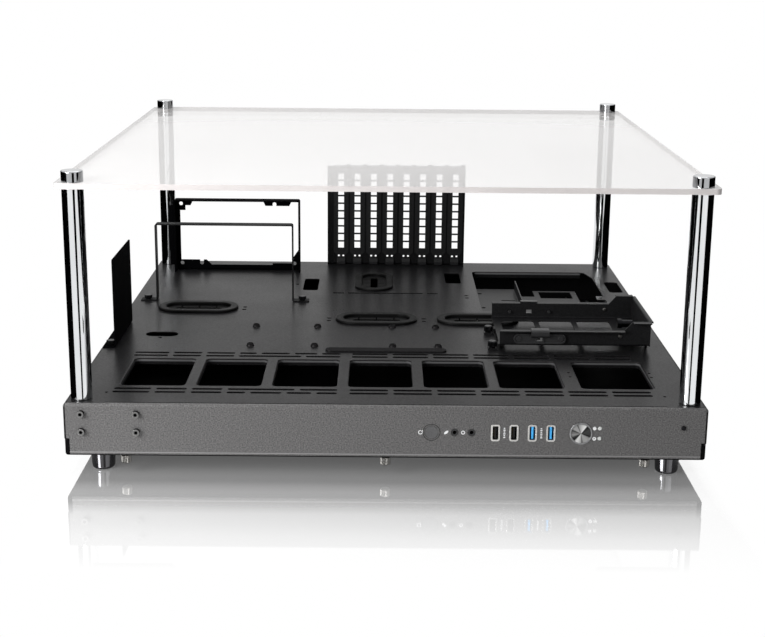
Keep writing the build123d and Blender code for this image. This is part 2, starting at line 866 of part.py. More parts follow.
# Power supply frame: a shallow pan with a big opening, screw ears, a foot and a stiffening wing
def supply_screws():
    x = supply_screw_span / 2
    inner = supply_screw_inner - x
    top = supply_screw_mid + supply_screw_rows / 2
    bottom = supply_screw_mid - supply_screw_rows / 2
    return [(-x, top), (inner, top), (-x, bottom), (-inner, bottom), (x, bottom)]


def frame_ears():
    top_left, top_right, bottom_left, _, bottom_right = supply_screws()
    low = deck_top + frame_bottom_flange
    high = frame_top - sheet - frame_top_flange
    ears = []
    for (x, _), (left, right, drop) in ((top_left, ear_top_left), (top_right, ear_top_right)):
        ears.append(outline((x - left, frame_top - sheet), (x - left, high), (x - left + drop / 2, high - drop),
                            (x + right - drop / 2, high - drop), (x + right, high), (x + right, frame_top - sheet)))
    for (x, _), (left, right, rise) in ((bottom_left, ear_bottom_left), (bottom_right, ear_bottom_right)):
        ears.append(outline((x - left, deck_top), (x - left, low + rise), (x + right - rise, low + rise),
                            (x + right, low), (x + right, deck_top)))
    wall = supply_half
    ears.append(outline((-wall, frame_top - sheet), (-wall, frame_top - sheet - ear_corner[1]),
                        (ear_corner[0] - wall, frame_top - sheet - ear_corner[1]),
                        (ear_corner[0] - wall, frame_top - sheet)))
    ears.append(outline((wall, low), (wall, low + ear_gusset[1]), (wall - frame_right_flange, low + ear_gusset[1]),
                        (wall - ear_gusset[0], low + ear_gusset[1] / 2), (wall - ear_gusset[0], low)))
    return ears


def psu_frame():
    hoop = outline((-frame_half, deck_top), (-frame_half, frame_top), (frame_half, frame_top), (frame_half, deck_top))
    hoop = fillet(hoop.vertices().group_by(Axis.Y)[-1], bend)
    void = outline((-supply_half, deck_top), (-supply_half, frame_top - sheet), (supply_half, frame_top - sheet),
                   (supply_half, deck_top))
    void = fillet(void.vertices().group_by(Axis.Y)[-1], bend - sheet)
    opening = outline((frame_left_flange - supply_half, deck_top + frame_bottom_flange),
                      (frame_left_flange - supply_half, frame_top - sheet - frame_top_flange),
                      (supply_half - frame_right_flange, frame_top - sheet - frame_top_flange),
                      (supply_half - frame_right_flange, deck_top + frame_bottom_flange))
    plate = hoop - (opening - frame_ears()) - [Pos(*place) * Circle(supply_screw_hole / 2)
                                              for place in supply_screws()]
    for (x, z), way in ((supply_screws()[1], -1), (supply_screws()[3], 1)):
        plate -= Pos(x, z + way * supply_screw_hole) * Rectangle(supply_screw_hole, 2 * supply_screw_hole)
    place = Pos(supply_mid, 0)
    frame = along_y(place * plate, frame_back - sheet, frame_back)
    frame += along_y(place * (hoop - void), frame_front_y, frame_back)
    foot = folded([(frame_back - sheet, deck_top + frame_bottom_flange), (frame_back - sheet, deck_top),
                   (frame_back + frame_foot, deck_top)], sheet, bend)
    frame -= slab(supply_mid - supply_half, supply_mid + supply_half, frame_front_y, frame_back,
                  deck_top, deck_top + bend)
    frame += along_x(foot, supply_mid - supply_half, supply_mid + supply_half)
    x = supply_mid - frame_half
    wing = folded([(x - frame_wing, frame_front_y), (x + sheet, frame_front_y), (x + sheet, frame_back - bend)],
                  sheet, bend)
    frame += along_z(wing, deck_top + frame_wing_bottom, deck_top + frame_wing_top)
    return frame - [screw_hole(x, y, deck_under, deck_top + 2 * sheet) for x, y in frame_screw_places()]


# Side support plate: an upright with its foot turned out
def side_support_plate():
    section = folded([(plate_face - plate_foot, deck_top), (plate_face, deck_top),
                      (plate_face, deck_top + plate_height)], sheet, bend)
    start = behind_front(plate_front)
    plate = along_y(section, start, start + plate_length)
    top = plate.edges().filter_by(Axis.X).group_by(Axis.Z)[-1]
    plate = fillet(top, plate_corner)
    return plate - [screw_hole(x, y, deck_under, deck_top + 2 * sheet) for x, y in plate_screw_places()]


# Card bracket: a folded upright with one opening for each slot
def pin_holes(x):
    return [Pos(x + side * pin_hole_span / 2, deck_top + pin_hole_z) * Circle(pin_hole / 2) for side in (-1, 1)]


def pci_bracket():
    end = bracket_y + bracket_flange
    section = folded([(end, deck_top), (bracket_y, deck_top), (bracket_y, bracket_top), (end, bracket_top)][::-1],
                     sheet, bend)
    bracket = along_x(section, bracket_left, bracket_right)
    tools = []
    for x in slot_xs:
        height = slot_opening_top - slot_opening_bottom
        slot = Pos(x, deck_top + slot_opening_bottom + height / 2) * RectangleRounded(
            slot_opening, height, bend)
        for cut in [slot] + pin_holes(x):
            tools.append(along_y(cut, bracket_y - sheet, bracket_y + 2 * sheet))
        tools.append(screw_hole(x + slot_screw_out, slot_screw_y, bracket_top - 2 * sheet, bracket_top + sheet))
    tools += [screw_hole(x, y, deck_under, deck_top + 2 * sheet) for x, y in bracket_screw_places()]
    return bracket - tools


# Slot cover: tab over the bracket, pierced strip with a raised panel, tapered end and a jogged tongue
def raised_panel(x, inset):
    height = panel_top - panel_bottom
    return Pos(x, deck_top + (panel_top + panel_bottom) / 2) * SlotOverall(
        height - 2 * inset, panel_width - 2 * inset, rotation=90)


def slot_cover(x):
    y = bracket_y - slot_cover_sheet
    top = bracket_top + slot_cover_sheet
    bottom = deck_top + slot_cover_clear
    section = folded([(bracket_y + slot_cover_tab, top), (y, top), (y, deck_top + tongue_jog_top),
                      (y - tongue_jog, deck_top + tongue_jog_bottom), (y - tongue_jog, bottom)],
                     slot_cover_sheet, 2 * slot_cover_sheet)
    w = slot_cover_width / 2
    t = slot_cover_tongue / 2
    shoulder = deck_top + slot_cover_shoulder
    taper = shoulder - (w - t)
    front = outline((x - w, top), (x - w, shoulder), (x - t, taper), (x - t, bottom),
                    (x + t, bottom), (x + t, taper), (x + w, shoulder), (x + w, top))
    vents = [Pos(x, deck_top + vent_first + vent_pitch * i) * Rectangle(vent_width, vent_height)
             for i in range(vent_count)]
    front = front - vents - pin_holes(x)
    strip = along_x(section, x - w, x + w)
    cover = strip & along_y(front, y - 2 * tongue_jog, bracket_y)
    cover += along_y(raised_panel(x, 0) - vents, y - panel_emboss, y)
    cover -= along_y(raised_panel(x, slot_cover_sheet), bracket_y - panel_emboss, bracket_y)
    tab = strip & slab(x - w, x + w, bracket_y, bracket_y + 2 * slot_cover_tab, bracket_top, top)
    return cover + tab - screw_hole(x + slot_screw_out, slot_screw_y, bracket_top, top + sheet)


# Drive tray: floor and walls of one sheet, with hems, an end wall and four feet
def tray_walls():
    section = folded([(tray_y0, tray_rim), (tray_y0, tray_z), (tray_y1, tray_z), (tray_y1, tray_rim)], sheet, bend)
    walls = along_x(section, tray_x0, tray_x1)
    slope0 = tray_x1 - tray_slope_start
    slope1 = tray_x1 - tray_slope_end
    raised = outline((slope0, tray_rim - bend), (slope0, tray_rim), (slope1, tray_end_rim), (tray_x1, tray_end_rim),
                     (tray_x1, tray_rim - bend))
    for start in (tray_y0, tray_y1 - sheet):
        walls += along_y(raised, start, start + sheet)
    for x0, x1, rim in ((tray_x0, slope0, tray_rim), (slope1, tray_x1, tray_end_rim)):
        hem = folded([(tray_y0 - tray_hem, rim), (tray_y0 + sheet, rim), (tray_y0 + sheet, rim - 2 * bend)][::-1],
                     sheet, bend)
        near = along_x(hem, x0, x1)
        walls += near
        walls += mirror(near, about=Plane.XZ.offset(-tray_mid_y))
    end = folded([(tray_x1 - sheet, tray_z), (tray_x1 - sheet, tray_end_rim),
                  (tray_x1 + tray_end_hem, tray_end_rim)][::-1], sheet, bend)
    return walls + along_y(end, tray_y0, tray_y1)


def tray_foot():
    step = tray_x0 - sheet
    return folded([(tray_x0 + tray_foot_length / 2, tray_z), (step, tray_z), (step, deck_top),
                   (step - tray_foot_length, deck_top)][::-1], sheet, bend)


def drive_tray():
    tray = tray_walls()
    for y in tray_foot_ys:
        middle = tray_y0 + y
        tray += along_y(tray_foot(), middle - tray_foot_width / 2, middle + tray_foot_width / 2)
    for y in tray_tab_ys:
        tray += tray_tab(y, 0)
    tools = []
    length = tray_y1 - tray_y0 - 2 * tray_opening_margin
    for i in range(tray_opening_count):
        x = tray_x0 + tray_opening_first + tray_opening / 2 + i * (tray_opening + tray_opening_gap)
        face = Pos(x, tray_mid_y) * RectangleRounded(tray_opening, length, tray_opening_corner)
        tools.append(along_z(face, tray_z - sheet, tray_z + 2 * sheet))
    tools += [screw_hole(x, y, deck_under, deck_top + 2 * sheet) for x, y in tray_screw_places()]
    middle = tray_x0 + clip_x
    for side in (-1, 1):
        x = middle + side * clip_pin_span / 2
        tools.append(rod_y(x, clip_mid_z, clip_pin + 2 * fit, tray_y0 - sheet, tray_y1 + sheet))
    slot = Pos(middle, clip_mid_z) * Rectangle(*clip_slot)
    tools.append(along_y(slot, tray_y0 - sheet, tray_y1 + sheet))
    bore = Pos(tray_mid_y, tray_z + end_screw_z) * Circle(end_screw_shank / 2 + fit)
    tools.append(along_x(bore, tray_x1 - 2 * sheet, tray_x1 + 2 * sheet))
    return tray - tools


# Drive clip: a rounded plate with two pins, hooked over the hem of the wall
def drive_clip():
    y = tray_y0 - clip_thickness
    x = tray_x0 + clip_x
    place = Pos(x, clip_mid_z)
    pan = SlotOverall(clip_length - 2 * clip_border, clip_height - 2 * clip_border) - Rectangle(clip_hub, clip_height)
    plate = along_y(place * SlotOverall(clip_length, clip_height), y, tray_y0)
    plate -= along_y(place * pan, y, y + clip_recess_depth)
    for side in (-1, 1):
        pin_x = x + side * clip_pin_span / 2
        plate += rod_y(pin_x, clip_mid_z, clip_boss, y, tray_y0)
        plate += rod_y(pin_x, clip_mid_z, clip_pin, tray_y0, tray_y0 + sheet + clip_pin_reach)
    plate -= along_y(place * Rectangle(*clip_slot), y, tray_y0)
    gap = clip_hook_gap
    out = tray_y0 - tray_hem - gap
    over = tray_rim + gap
    hook = folded([(tray_y0 - gap, over), (out, over), (out, clip_mid_z + clip_height / 2 - clip_hook_sheet),
                   (tray_y0 - gap, clip_mid_z + clip_height / 2 - clip_hook_sheet)][::-1],
                  clip_hook_sheet, 2 * clip_hook_sheet)
    return plate + along_x(hook, x - clip_hook / 2, x + clip_hook / 2)


def tray_end_screw():
    shank_end = tray_x1 + sheet
    barrel_end = tray_x1 - sheet - end_screw_reach
    barrel_start = barrel_end - end_screw_length
    head_start = barrel_start - end_screw_head_length
    r, b, h = end_screw_shank / 2, end_screw_barrel / 2, end_screw_head / 2
    body = turned((0, head_start), (h, head_start), (h, barrel_start), (b, barrel_start), (b, barrel_end),
                  (r, barrel_end), (r, shank_end), (0, shank_end))
    return Pos(0, tray_mid_y, tray_z + end_screw_z) * Rot(0, 90, 0) * body


# Grommet: a rubber ring that grips both sides of the deck, with a slit web across it
def grommet(x, y, turn):
    place = Pos(x, y)
    top = deck_top + grommet_rise
    under = deck_under - grommet_under
    web_top = top - grommet_web_depth

    def oblong(inset):
        return place * SlotOverall(grommet_length - 2 * inset, grommet_width - 2 * inset, rotation=turn)

    rim = along_z(oblong(0) - oblong(grommet_ring), deck_top, top)
    body = fillet(rim.edges().group_by(Axis.Z)[-1], grommet_round)
    body += along_z(oblong(grommet_rim + fit) - oblong(grommet_ring), deck_under, deck_top)
    body += along_z(oblong(grommet_rim / 2) - oblong(grommet_ring), under, deck_under)
    web = oblong(grommet_ring) - place * SlotOverall(*grommet_mouth, rotation=turn)
    for i in range(grommet_slit_count):
        out = grommet_slit_pitch * (i - (grommet_slit_count - 1) / 2)
        slit = Rectangle(grommet_slit, grommet_width - 2 * grommet_ring - 2 * grommet_round)
        web -= place * Rot(0, 0, turn) * Pos(out, 0) * slit
    return body + along_z(web, web_top - grommet_web, web_top)


# Inner drive bracket: a dropped shelf with an upright edge and a framed opening
def inner_drive_bracket():
    x0 = from_right(shelf_left)
    x1 = x0 + shelf_leg
    y0 = behind_front(shelf_front)
    floor = deck_under - shelf_drop
    section = folded([(x0, deck_under), (x0, floor), (x1, floor), (x1, deck_top - shelf_wall_top)], sheet, bend)
    shelf = along_y(section, y0, before_rear(shelf_leg_rear))
    frame_x0 = x0 + shelf_frame_left
    frame_x1 = frame_x0 + shelf_frame_width
    bar_end = y0 + shelf_bar
    bar = slab(x1 - bend - sheet, frame_x1, y0, bar_end, floor, floor + sheet)
    frame_end = before_rear(shelf_frame_rear)
    bar += slab(frame_x0, frame_x1, y0, frame_end, floor, floor + sheet)
    window_end = frame_end - shelf_window_rear
    bar -= slab(frame_x0 + shelf_window_side, frame_x1 - shelf_window_side, window_end - shelf_window_length,
                window_end, floor - sheet, floor + 2 * sheet)
    front = folded([(y0, deck_under), (y0, floor), (y0 + 2 * bend, floor)], sheet, bend)
    shelf = shelf + bar + along_x(front, x1, frame_x1)
    cuts = [Pos(x0 + shelf_hole_x, y0 + y) * Circle(shelf_hole / 2) for y in shelf_hole_ys]
    cuts.append(Pos(x0 + shelf_slit_x, y0 + shelf_slit_y) * SlotOverall(*shelf_slit))
    return shelf - [along_z(cut, floor - sheet, floor + 2 * sheet) for cut in cuts]


# Power button in its ring, reset button in the panel
def facing_front(body, x, z):
    return Pos(x, front_y, z) * Rot(90, 0, 0) * body


def button_ring():
    bore = power_button / 2 + fit
    ring = turned((bore, front_y - sleeve_end), (power_sleeve / 2, front_y - sleeve_end), (power_sleeve / 2, 0),
                  (power_ring / 2, 0), (power_ring / 2, power_ring_rise), (bore, power_ring_rise))
    rim = ring.edges().group_by(Axis.Z)[-1].sort_by(SortBy.LENGTH)[-1]
    return facing_front(fillet(rim, power_ring_rise / 2), power_x, io_z)


def push_button(diameter, rise, dish, collar_top, travel):
    tip = front_y - board_front + switch_height + travel + fit
    low = collar_top - button_collar_height
    collar = diameter / 2 + button_collar
    return turned((0, tip), (button_stem / 2, tip), (button_stem / 2, low), (collar, low), (collar, collar_top),
                  (diameter / 2, collar_top), (diameter / 2, rise), (diameter / 2 - dish, rise),
                  (0, rise - dish))


def power_button_body():
    body = push_button(power_button, power_ring_rise, power_dish, front_y - sleeve_end - fit, power_travel)
    return facing_front(body, power_x, io_z)


def reset_button_body():
    body = push_button(reset_button, 0, power_dish / 2, front_y - panel_back - fit, reset_travel)
    return facing_front(body, reset_x, io_z)


# Sockets, jacks and lamps between the panel and the board
def usb_shell(x):
    place = Pos(x, io_z)
    tube = place * RectangleRounded(usb_width, usb_height, usb_corner)
    rim = place * RectangleRounded(usb_width + 2 * usb_rim, usb_height + 2 * usb_rim, usb_corner + usb_rim)
    bore = place * RectangleRounded(usb_width - 2 * usb_wall, usb_height - 2 * usb_wall, usb_corner - usb_wall)
    shell = along_y(tube, front_y, board_front) + along_y(rim, front_y - usb_rim_rise, front_y)
    return shell - along_y(bore, front_y - usb_rim_rise, board_front)


def usb_insert(x):
    clear = 2 * (usb_wall + fit / 2)
    place = Pos(x, io_z)
    base = place * RectangleRounded(usb_width - clear, usb_height - clear, usb_corner - clear / 2)
    tongue = place * Rectangle(usb_tongue, usb_tongue_height)
    insert = along_y(base, board_front - usb_base, board_front)
    return insert + along_y(tongue, front_y + usb_tongue_setback, board_front - usb_base)


def audio_jack(x):
    jack = rod_y(x, io_z, jack_diameter, front_y, board_front)
    return jack - rod_y(x, io_z, jack_bore, front_y, board_front - sheet)


def lamp_lens(z):
    lens = rod_y(lamp_x, z, lamp_diameter, front_y, board_front)
    flange = rod_y(lamp_x, z, lamp_flange, panel_back, panel_back + lamp_flange_height)
    return fillet((lens + flange).edges().group_by(Axis.Y)[0], lamp_diameter / 8)


def io_board():
    x0 = reset_x - reset_button / 2 - board_margin
    x1 = lamp_x + board_margin
    y1 = board_front + board_sheet
    board = slab(x0, x1, board_front, y1, io_z - board_height / 2, io_z + board_height / 2)
    s = switch_side / 2
    for x in (reset_x, power_x):
        board += slab(x - s, x + s, board_front - switch_height / 2, board_front, io_z - s, io_z + s)
        board += rod_y(x, io_z, button_stem, board_front - switch_height, board_front)
    return board


# Socket-head screws of the stand, seated on the front panel
def stand_screw(x, z):
    r = screw_shank / 2
    reach = sheet + screw_bite
    body = turned((0, -reach), (r, -reach), (r, 0), (stand_head / 2, 0), (stand_head / 2, stand_head_height),
                  (0, stand_head_height))
    socket = RegularPolygon(stand_hex / 2, 6, major_radius=False)
    body -= along_z(socket, stand_head_height - stand_hex_depth, stand_head_height)
    return facing_front(body, x, z)


def panel_screw():
    screw = pan_screw(panel_screw_head, panel_screw_height, screw_shank, sheet + screw_bite)
    return facing_front(screw, *panel_screw_place)


def group(pieces):
    return Compound(children=list(pieces))


nodes = {
    "deck_panel": deck_panel(),
    "front_panel": front_panel(),
    "bottom_cover": bottom_cover(),
    "acrylic_panel": acrylic_panel(),
    "psu_frame": psu_frame(),
    "psu_strap": psu_strap(),
    "side_support_plate": side_support_plate(),
    "pci_bracket": pci_bracket(),
    "drive_tray": drive_tray(),
    "drive_clip_front": drive_clip(),
    "drive_clip_rear": mirror(drive_clip(), about=Plane.XZ.offset(-tray_mid_y)),
    "tray_end_screw": tray_end_screw(),
    "inner_drive_bracket": inner_drive_bracket(),
    "power_button_ring": button_ring(),
    "power_button": power_button_body(),
    "reset_button": reset_button_body(),
    "io_board": io_board(),
    "lamp_lenses": group(lamp_lens(z) for z in lamp_zs),
    "post_screws": group(Pos(x, y) * post_screw() for _, x, y in post_places()),
    "foot_screws": group(Pos(x, y) * foot_screw() for _, x, y in foot_places()),
    "cover_thumbscrews": group(Pos(x, y) * cover_thumbscrew() for x, y in cover_screw_places()),
    "stand_screws": group(stand_screw(x, z) for x, z in stand_screw_places),
    "slot_screws": group(slot_screw(x + slot_screw_out) for x in slot_xs),
    "tray_thumbscrews": group(tray_thumbscrew(x, y) for x, y in tray_screw_places()),
    "bracket_thumbscrews": group(bracket_thumbscrew(x, y, deck_top + sheet)
                                 for x, y in strap_screw_places() + plate_screw_places()),
    "bracket_screws": group([deck_screw(x, y, deck_top + sheet)
                             for x, y in frame_screw_places() + bracket_screw_places()] + [panel_screw()]),
}
for name, x, y in post_places():
    nodes["post_" + name] = Pos(x, y) * post()
    nodes["post_cap_" + name] = Pos(x, y) * post_cap()
for name, x, y in foot_places():
    nodes["foot_" + name] = Pos(x, y) * foot()
for name, x, y, turn in grommet_places:
    nodes["grommet_" + name] = grommet(x, y, turn)
for i, x in enumerate(slot_xs):
    nodes[f"slot_cover_{i + 1}"] = slot_cover(x)
for i, x in enumerate(usb_xs):
    nodes[f"usb_shell_{i + 1}"] = usb_shell(x)
    nodes[f"usb_insert_{i + 1}"] = usb_insert(x)
for i, x in enumerate(jack_xs):
    nodes[f"audio_jack_{i + 1}"] = audio_jack(x)

os.makedirs("parts", exist_ok=True)
for name, shape in nodes.items():
    export_step(shape, f"parts/{name}.step")
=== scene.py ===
import math

import bmesh
import bpy
from mathutils import Matrix, Vector


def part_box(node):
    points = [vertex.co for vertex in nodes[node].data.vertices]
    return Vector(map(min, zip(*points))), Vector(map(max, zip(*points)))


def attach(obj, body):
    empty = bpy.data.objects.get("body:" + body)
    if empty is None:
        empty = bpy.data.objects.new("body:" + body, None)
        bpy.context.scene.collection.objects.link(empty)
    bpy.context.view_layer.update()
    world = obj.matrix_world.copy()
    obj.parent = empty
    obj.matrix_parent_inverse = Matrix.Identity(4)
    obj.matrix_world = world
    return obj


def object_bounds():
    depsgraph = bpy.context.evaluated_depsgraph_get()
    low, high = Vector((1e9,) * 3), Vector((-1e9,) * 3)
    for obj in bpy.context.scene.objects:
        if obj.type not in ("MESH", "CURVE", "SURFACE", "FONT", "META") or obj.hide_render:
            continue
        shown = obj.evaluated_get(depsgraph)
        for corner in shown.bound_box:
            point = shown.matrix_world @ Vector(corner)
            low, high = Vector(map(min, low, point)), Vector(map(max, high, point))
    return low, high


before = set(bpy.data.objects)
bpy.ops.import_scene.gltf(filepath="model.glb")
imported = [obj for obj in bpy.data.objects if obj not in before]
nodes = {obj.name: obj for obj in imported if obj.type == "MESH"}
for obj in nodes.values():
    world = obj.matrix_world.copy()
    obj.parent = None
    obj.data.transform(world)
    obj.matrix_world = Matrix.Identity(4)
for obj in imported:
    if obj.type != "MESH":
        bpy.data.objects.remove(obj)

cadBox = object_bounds()
scene = bpy.context.scene
scene.view_settings.view_transform = "Standard"
mm = 0.001
hair = 0.001 * mm  # less than this apart is level
weld = 0.01 * mm  # less than this apart is one point
fullTurn = 360.0
print("frame loaded:", len(nodes), "nodes")


def hexColour(text):
    # sRGB hex to the linear colour that a shader wants
    channels = [int(text[i:i + 2], 16) / 255 for i in (1, 3, 5)]
    linear = [c / 12.92 if c <= 0.04045 else ((c + 0.055) / 1.055) ** 2.4 for c in channels]
    return (*linear, 1.0)


def addNode(tree, kind, inputs=None, **settings):
    # inputs: a socket is linked, anything else is set as its value
    node = tree.nodes.new(kind)
    for name, value in settings.items():
        setattr(node, name, value)
    for name, value in (inputs or {}).items():
        if isinstance(value, bpy.types.NodeSocket):
            tree.links.new(value, node.inputs[name])
        else:
            node.inputs[name].default_value = value
    return node


def newMaterial(name):
    material = bpy.data.materials.new(name)
    material.use_nodes = True
    tree = material.node_tree
    return material, tree, tree.nodes["Principled BSDF"]


def perMetre(size):
    # a noise texture's scale for features of this many millimetres
    return 1 / (size * mm)


# the photograph's own standpoint
cameraSet = {
    "place": (-0.006577, -1.46555, 0.46766),
    "pitch": 0.24768,
    "yaw": -0.002294,
    "roll": 0.00922,
    "lens": 66.633,
    "sensor": 36.0,
    "shiftY": -0.03073,
    "clip": (0.05, 50.0),
}


def placeCamera(look):
    data = bpy.data.cameras.new("benchCamera")
    data.lens = look["lens"]
    data.sensor_width = look["sensor"]
    data.shift_y = look["shiftY"]
    data.clip_start, data.clip_end = look["clip"]
    camera = bpy.data.objects.new("benchCamera", data)
    turn = Matrix.Rotation(look["yaw"], 4, "Z")
    tilt = Matrix.Rotation(math.pi / 2 - look["pitch"], 4, "X")
    roll = Matrix.Rotation(look["roll"], 4, "Z")
    camera.matrix_world = Matrix.Translation(look["place"]) @ (turn @ tilt) @ roll
    scene.collection.objects.link(camera)
    scene.camera = camera


placeCamera(cameraSet)
print("camera placed")


def setStops(ramp, stops):
    # a ramp starts with two stops: the others are added, then all are placed
    while len(ramp.elements) < len(stops):
        ramp.elements.new(0.5)
    for element, (place, colour) in zip(ramp.elements, stops):
        element.position = place
        element.color = colour


def levels(tree, value, stops):
    # a curve through these places and levels
    first, last = stops[0][0], stops[-1][0]
    reach = addNode(tree, "ShaderNodeMapRange", {"Value": value, "From Min": first, "From Max": last})
    curve = addNode(tree, "ShaderNodeValToRGB", {"Fac": reach.outputs["Result"]})
    setStops(curve.color_ramp, [
        ((place - first) / (last - first), (level, level, level, 1)) for place, level in stops])
    return curve.outputs["Color"]


def heightLevels(tree, coords, stops):
    # levels by height above the floor, in mm
    height = addNode(tree, "ShaderNodeSeparateXYZ", {"Vector": coords}).outputs["Z"]
    return levels(tree, height, [(place * mm, level) for place, level in stops])


# how the two tones and the gloss are drawn from the noise in every grained finish
# the real tooth of coat, plastic and ink, 0.1 to 0.3 mm, is too fine to show in the render,
# so each finish draws its grain as 0.5 to 1.4 mm
grainSet = {"detail": 2.0, "fade": 0.6, "driftDetail": 3.0, "driftFade": 0.5,
            "tones": (0.35, 0.7), "span": (0.3, 0.7), "edgeSamples": 4}


def grained(name, look):
    # a dull surface with fine grain: two tones, a slow drift in gloss, a soft edge
    material, tree, shader = newMaterial(name)
    coords = addNode(tree, "ShaderNodeTexCoord").outputs["Object"]
    least, most = grainSet["span"]
    grain = addNode(tree, "ShaderNodeTexNoise", {
        "Vector": coords, "Scale": perMetre(look["grain"]),
        "Detail": grainSet["detail"], "Roughness": grainSet["fade"]})
    drift = addNode(tree, "ShaderNodeTexNoise", {
        "Vector": coords, "Scale": perMetre(look["drift"]),
        "Detail": grainSet["driftDetail"], "Roughness": grainSet["driftFade"]})
    tone = addNode(tree, "ShaderNodeValToRGB", {"Fac": grain.outputs["Fac"]})
    tones = (hexColour(look["colour"]), hexColour(look["fleck"]))
    setStops(tone.color_ramp, list(zip(grainSet["tones"], tones)))
    gloss = addNode(tree, "ShaderNodeMapRange", {
        "Value": drift.outputs["Fac"], "From Min": least, "From Max": most,
        "To Min": look["rough"][0], "To Max": look["rough"][1]}).outputs["Result"]
    if "tooth" in look:
        # each pebble of the coat is smoother on its crown than between
        crown = addNode(tree, "ShaderNodeMapRange", {
            "Value": grain.outputs["Fac"], "From Min": least, "From Max": most,
            "To Min": look["tooth"], "To Max": -look["tooth"]})
        gloss = addNode(tree, "ShaderNodeMath", {0: gloss, 1: crown.outputs["Result"]}).outputs["Value"]
    if "settled" in look:
        # faces that lie flat in the oven come out smoother
        facing = addNode(tree, "ShaderNodeNewGeometry").outputs["True Normal"]
        upward = addNode(tree, "ShaderNodeSeparateXYZ", {"Vector": facing})
        lying = addNode(tree, "ShaderNodeMath", {0: upward.outputs["Z"]}, operation="ABSOLUTE")
        gloss = addNode(tree, "ShaderNodeMix", {
            "Factor": lying.outputs["Value"], "A": gloss, "B": look["settled"]},
            data_type="FLOAT").outputs["Result"]
    if "dull" in look:
        # the coat dries flat on what stands up from the sheet
        flat = heightLevels(tree, coords, look["dull"])
        gloss = addNode(tree, "ShaderNodeMath", {0: gloss, 1: flat}).outputs["Value"]
    edge = addNode(tree, "ShaderNodeBevel", {"Radius": look["edge"] * mm}, samples=grainSet["edgeSamples"])
    bump = addNode(tree, "ShaderNodeBump", {
        "Height": grain.outputs["Fac"], "Distance": look["bump"] * mm, "Strength": 1.0,
        "Normal": edge.outputs["Normal"]})
    colour = tone.outputs["Color"]
    if "highlightHeights" in look:
        # painted highlight: the colour turns paler at these heights, where bends and rims catch the light
        highlightBand = heightLevels(tree, coords, look["highlightHeights"])
        colour = addNode(tree, "ShaderNodeMix", {
            "Factor": highlightBand, "A": colour, "B": hexColour(look["highlightColour"])},
            data_type="RGBA").outputs["Result"]
    tree.links.new(colour, shader.inputs["Base Color"])
    tree.links.new(gloss, shader.inputs["Roughness"])
    tree.links.new(bump.outputs["Normal"], shader.inputs["Normal"])
    shader.inputs["IOR"].default_value = look["ior"]
    shader.inputs["Specular IOR Level"].default_value = look["specular"]
    if "tint" in look:
        shader.inputs["Specular Tint"].default_value = hexColour(look["tint"])
    return material


# the same for every bare metal
# real draw and turning lines, under 0.1 mm, are too fine to show and are drawn as 0.4 to 0.8 mm
metalSet = {"detail": 2.0, "tones": (0.3, 0.75), "span": (0.25, 0.75), "edgeSamples": 4}


def metal(name, look):
    # a bare metal: faint drawn lines along one way, a slow drift in gloss, a soft edge
    material, tree, shader = newMaterial(name)
    coords = addNode(tree, "ShaderNodeTexCoord").outputs["Object"]
    lines = addNode(tree, "ShaderNodeMapping", {"Vector": coords, "Scale": look["stretch"]})
    drawn = addNode(tree, "ShaderNodeTexNoise", {
        "Vector": lines.outputs["Vector"], "Scale": perMetre(look["line"]), "Detail": metalSet["detail"]})
    drift = addNode(tree, "ShaderNodeTexNoise", {
        "Vector": coords, "Scale": perMetre(look["drift"]), "Detail": metalSet["detail"]})
    tone = addNode(tree, "ShaderNodeValToRGB", {"Fac": drift.outputs["Fac"]})
    tones = (hexColour(look["colour"]), hexColour(look["pale"]))
    setStops(tone.color_ramp, list(zip(metalSet["tones"], tones)))
    least, most = metalSet["span"]
    gloss = addNode(tree, "ShaderNodeMapRange", {
        "Value": drawn.outputs["Fac"], "From Min": least, "From Max": most,
        "To Min": look["rough"][0], "To Max": look["rough"][1]})
    edge = addNode(tree, "ShaderNodeBevel", {"Radius": look["edge"] * mm}, samples=metalSet["edgeSamples"])
    bump = addNode(tree, "ShaderNodeBump", {
        "Height": drawn.outputs["Fac"], "Distance": look["bump"] * mm, "Strength": 1.0,
        "Normal": edge.outputs["Normal"]})
    colour = tone.outputs["Color"]
    if "side" in look:
        # painted highlight and shade: the end face is painted pale, the round side and the socket near-black
        split = addNode(tree, "ShaderNodeSeparateXYZ", {"Vector": coords})
        end = addNode(tree, "ShaderNodeMath", {
            0: split.outputs["Y"], 1: look["end"] * mm}, operation="LESS_THAN")
        colour = addNode(tree, "ShaderNodeMix", {
            "Factor": end.outputs["Value"], "A": hexColour(look["side"]), "B": colour},
            data_type="RGBA").outputs["Result"]
        tree.links.new(end.outputs["Value"], shader.inputs["Metallic"])
        shader.inputs["Specular IOR Level"].default_value = look["specular"]
    tree.links.new(colour, shader.inputs["Base Color"])
    tree.links.new(gloss.outputs["Result"], shader.inputs["Roughness"])
    tree.links.new(bump.outputs["Normal"], shader.inputs["Normal"])
    shader.inputs["Metallic"].default_value = 1.0
    return material


# powder coat baked on the folded deck: black, finely pebbled, pale where it mirrors the room, with a painted
# highlight band just under its top, on the window rims and folds
deckCoat = {
    "colour": "#0a0a0b", "fleck": "#1b1b1c", "grain": 1.2, "drift": 70.0, "tooth": 0.05,
    "rough": (0.31, 0.36), "bump": 0.03, "edge": 0.6, "ior": 1.5, "specular": 0.1, "tint": "#fff6f7",
    "dull": ((69.2, 0.0), (69.6, 0.55), (70.6, 0.55)),
    "highlightHeights": ((64.4, 0.0), (65.2, 0.8), (66.5, 0.8), (66.7, 0.0)), "highlightColour": "#5a5a5b"}
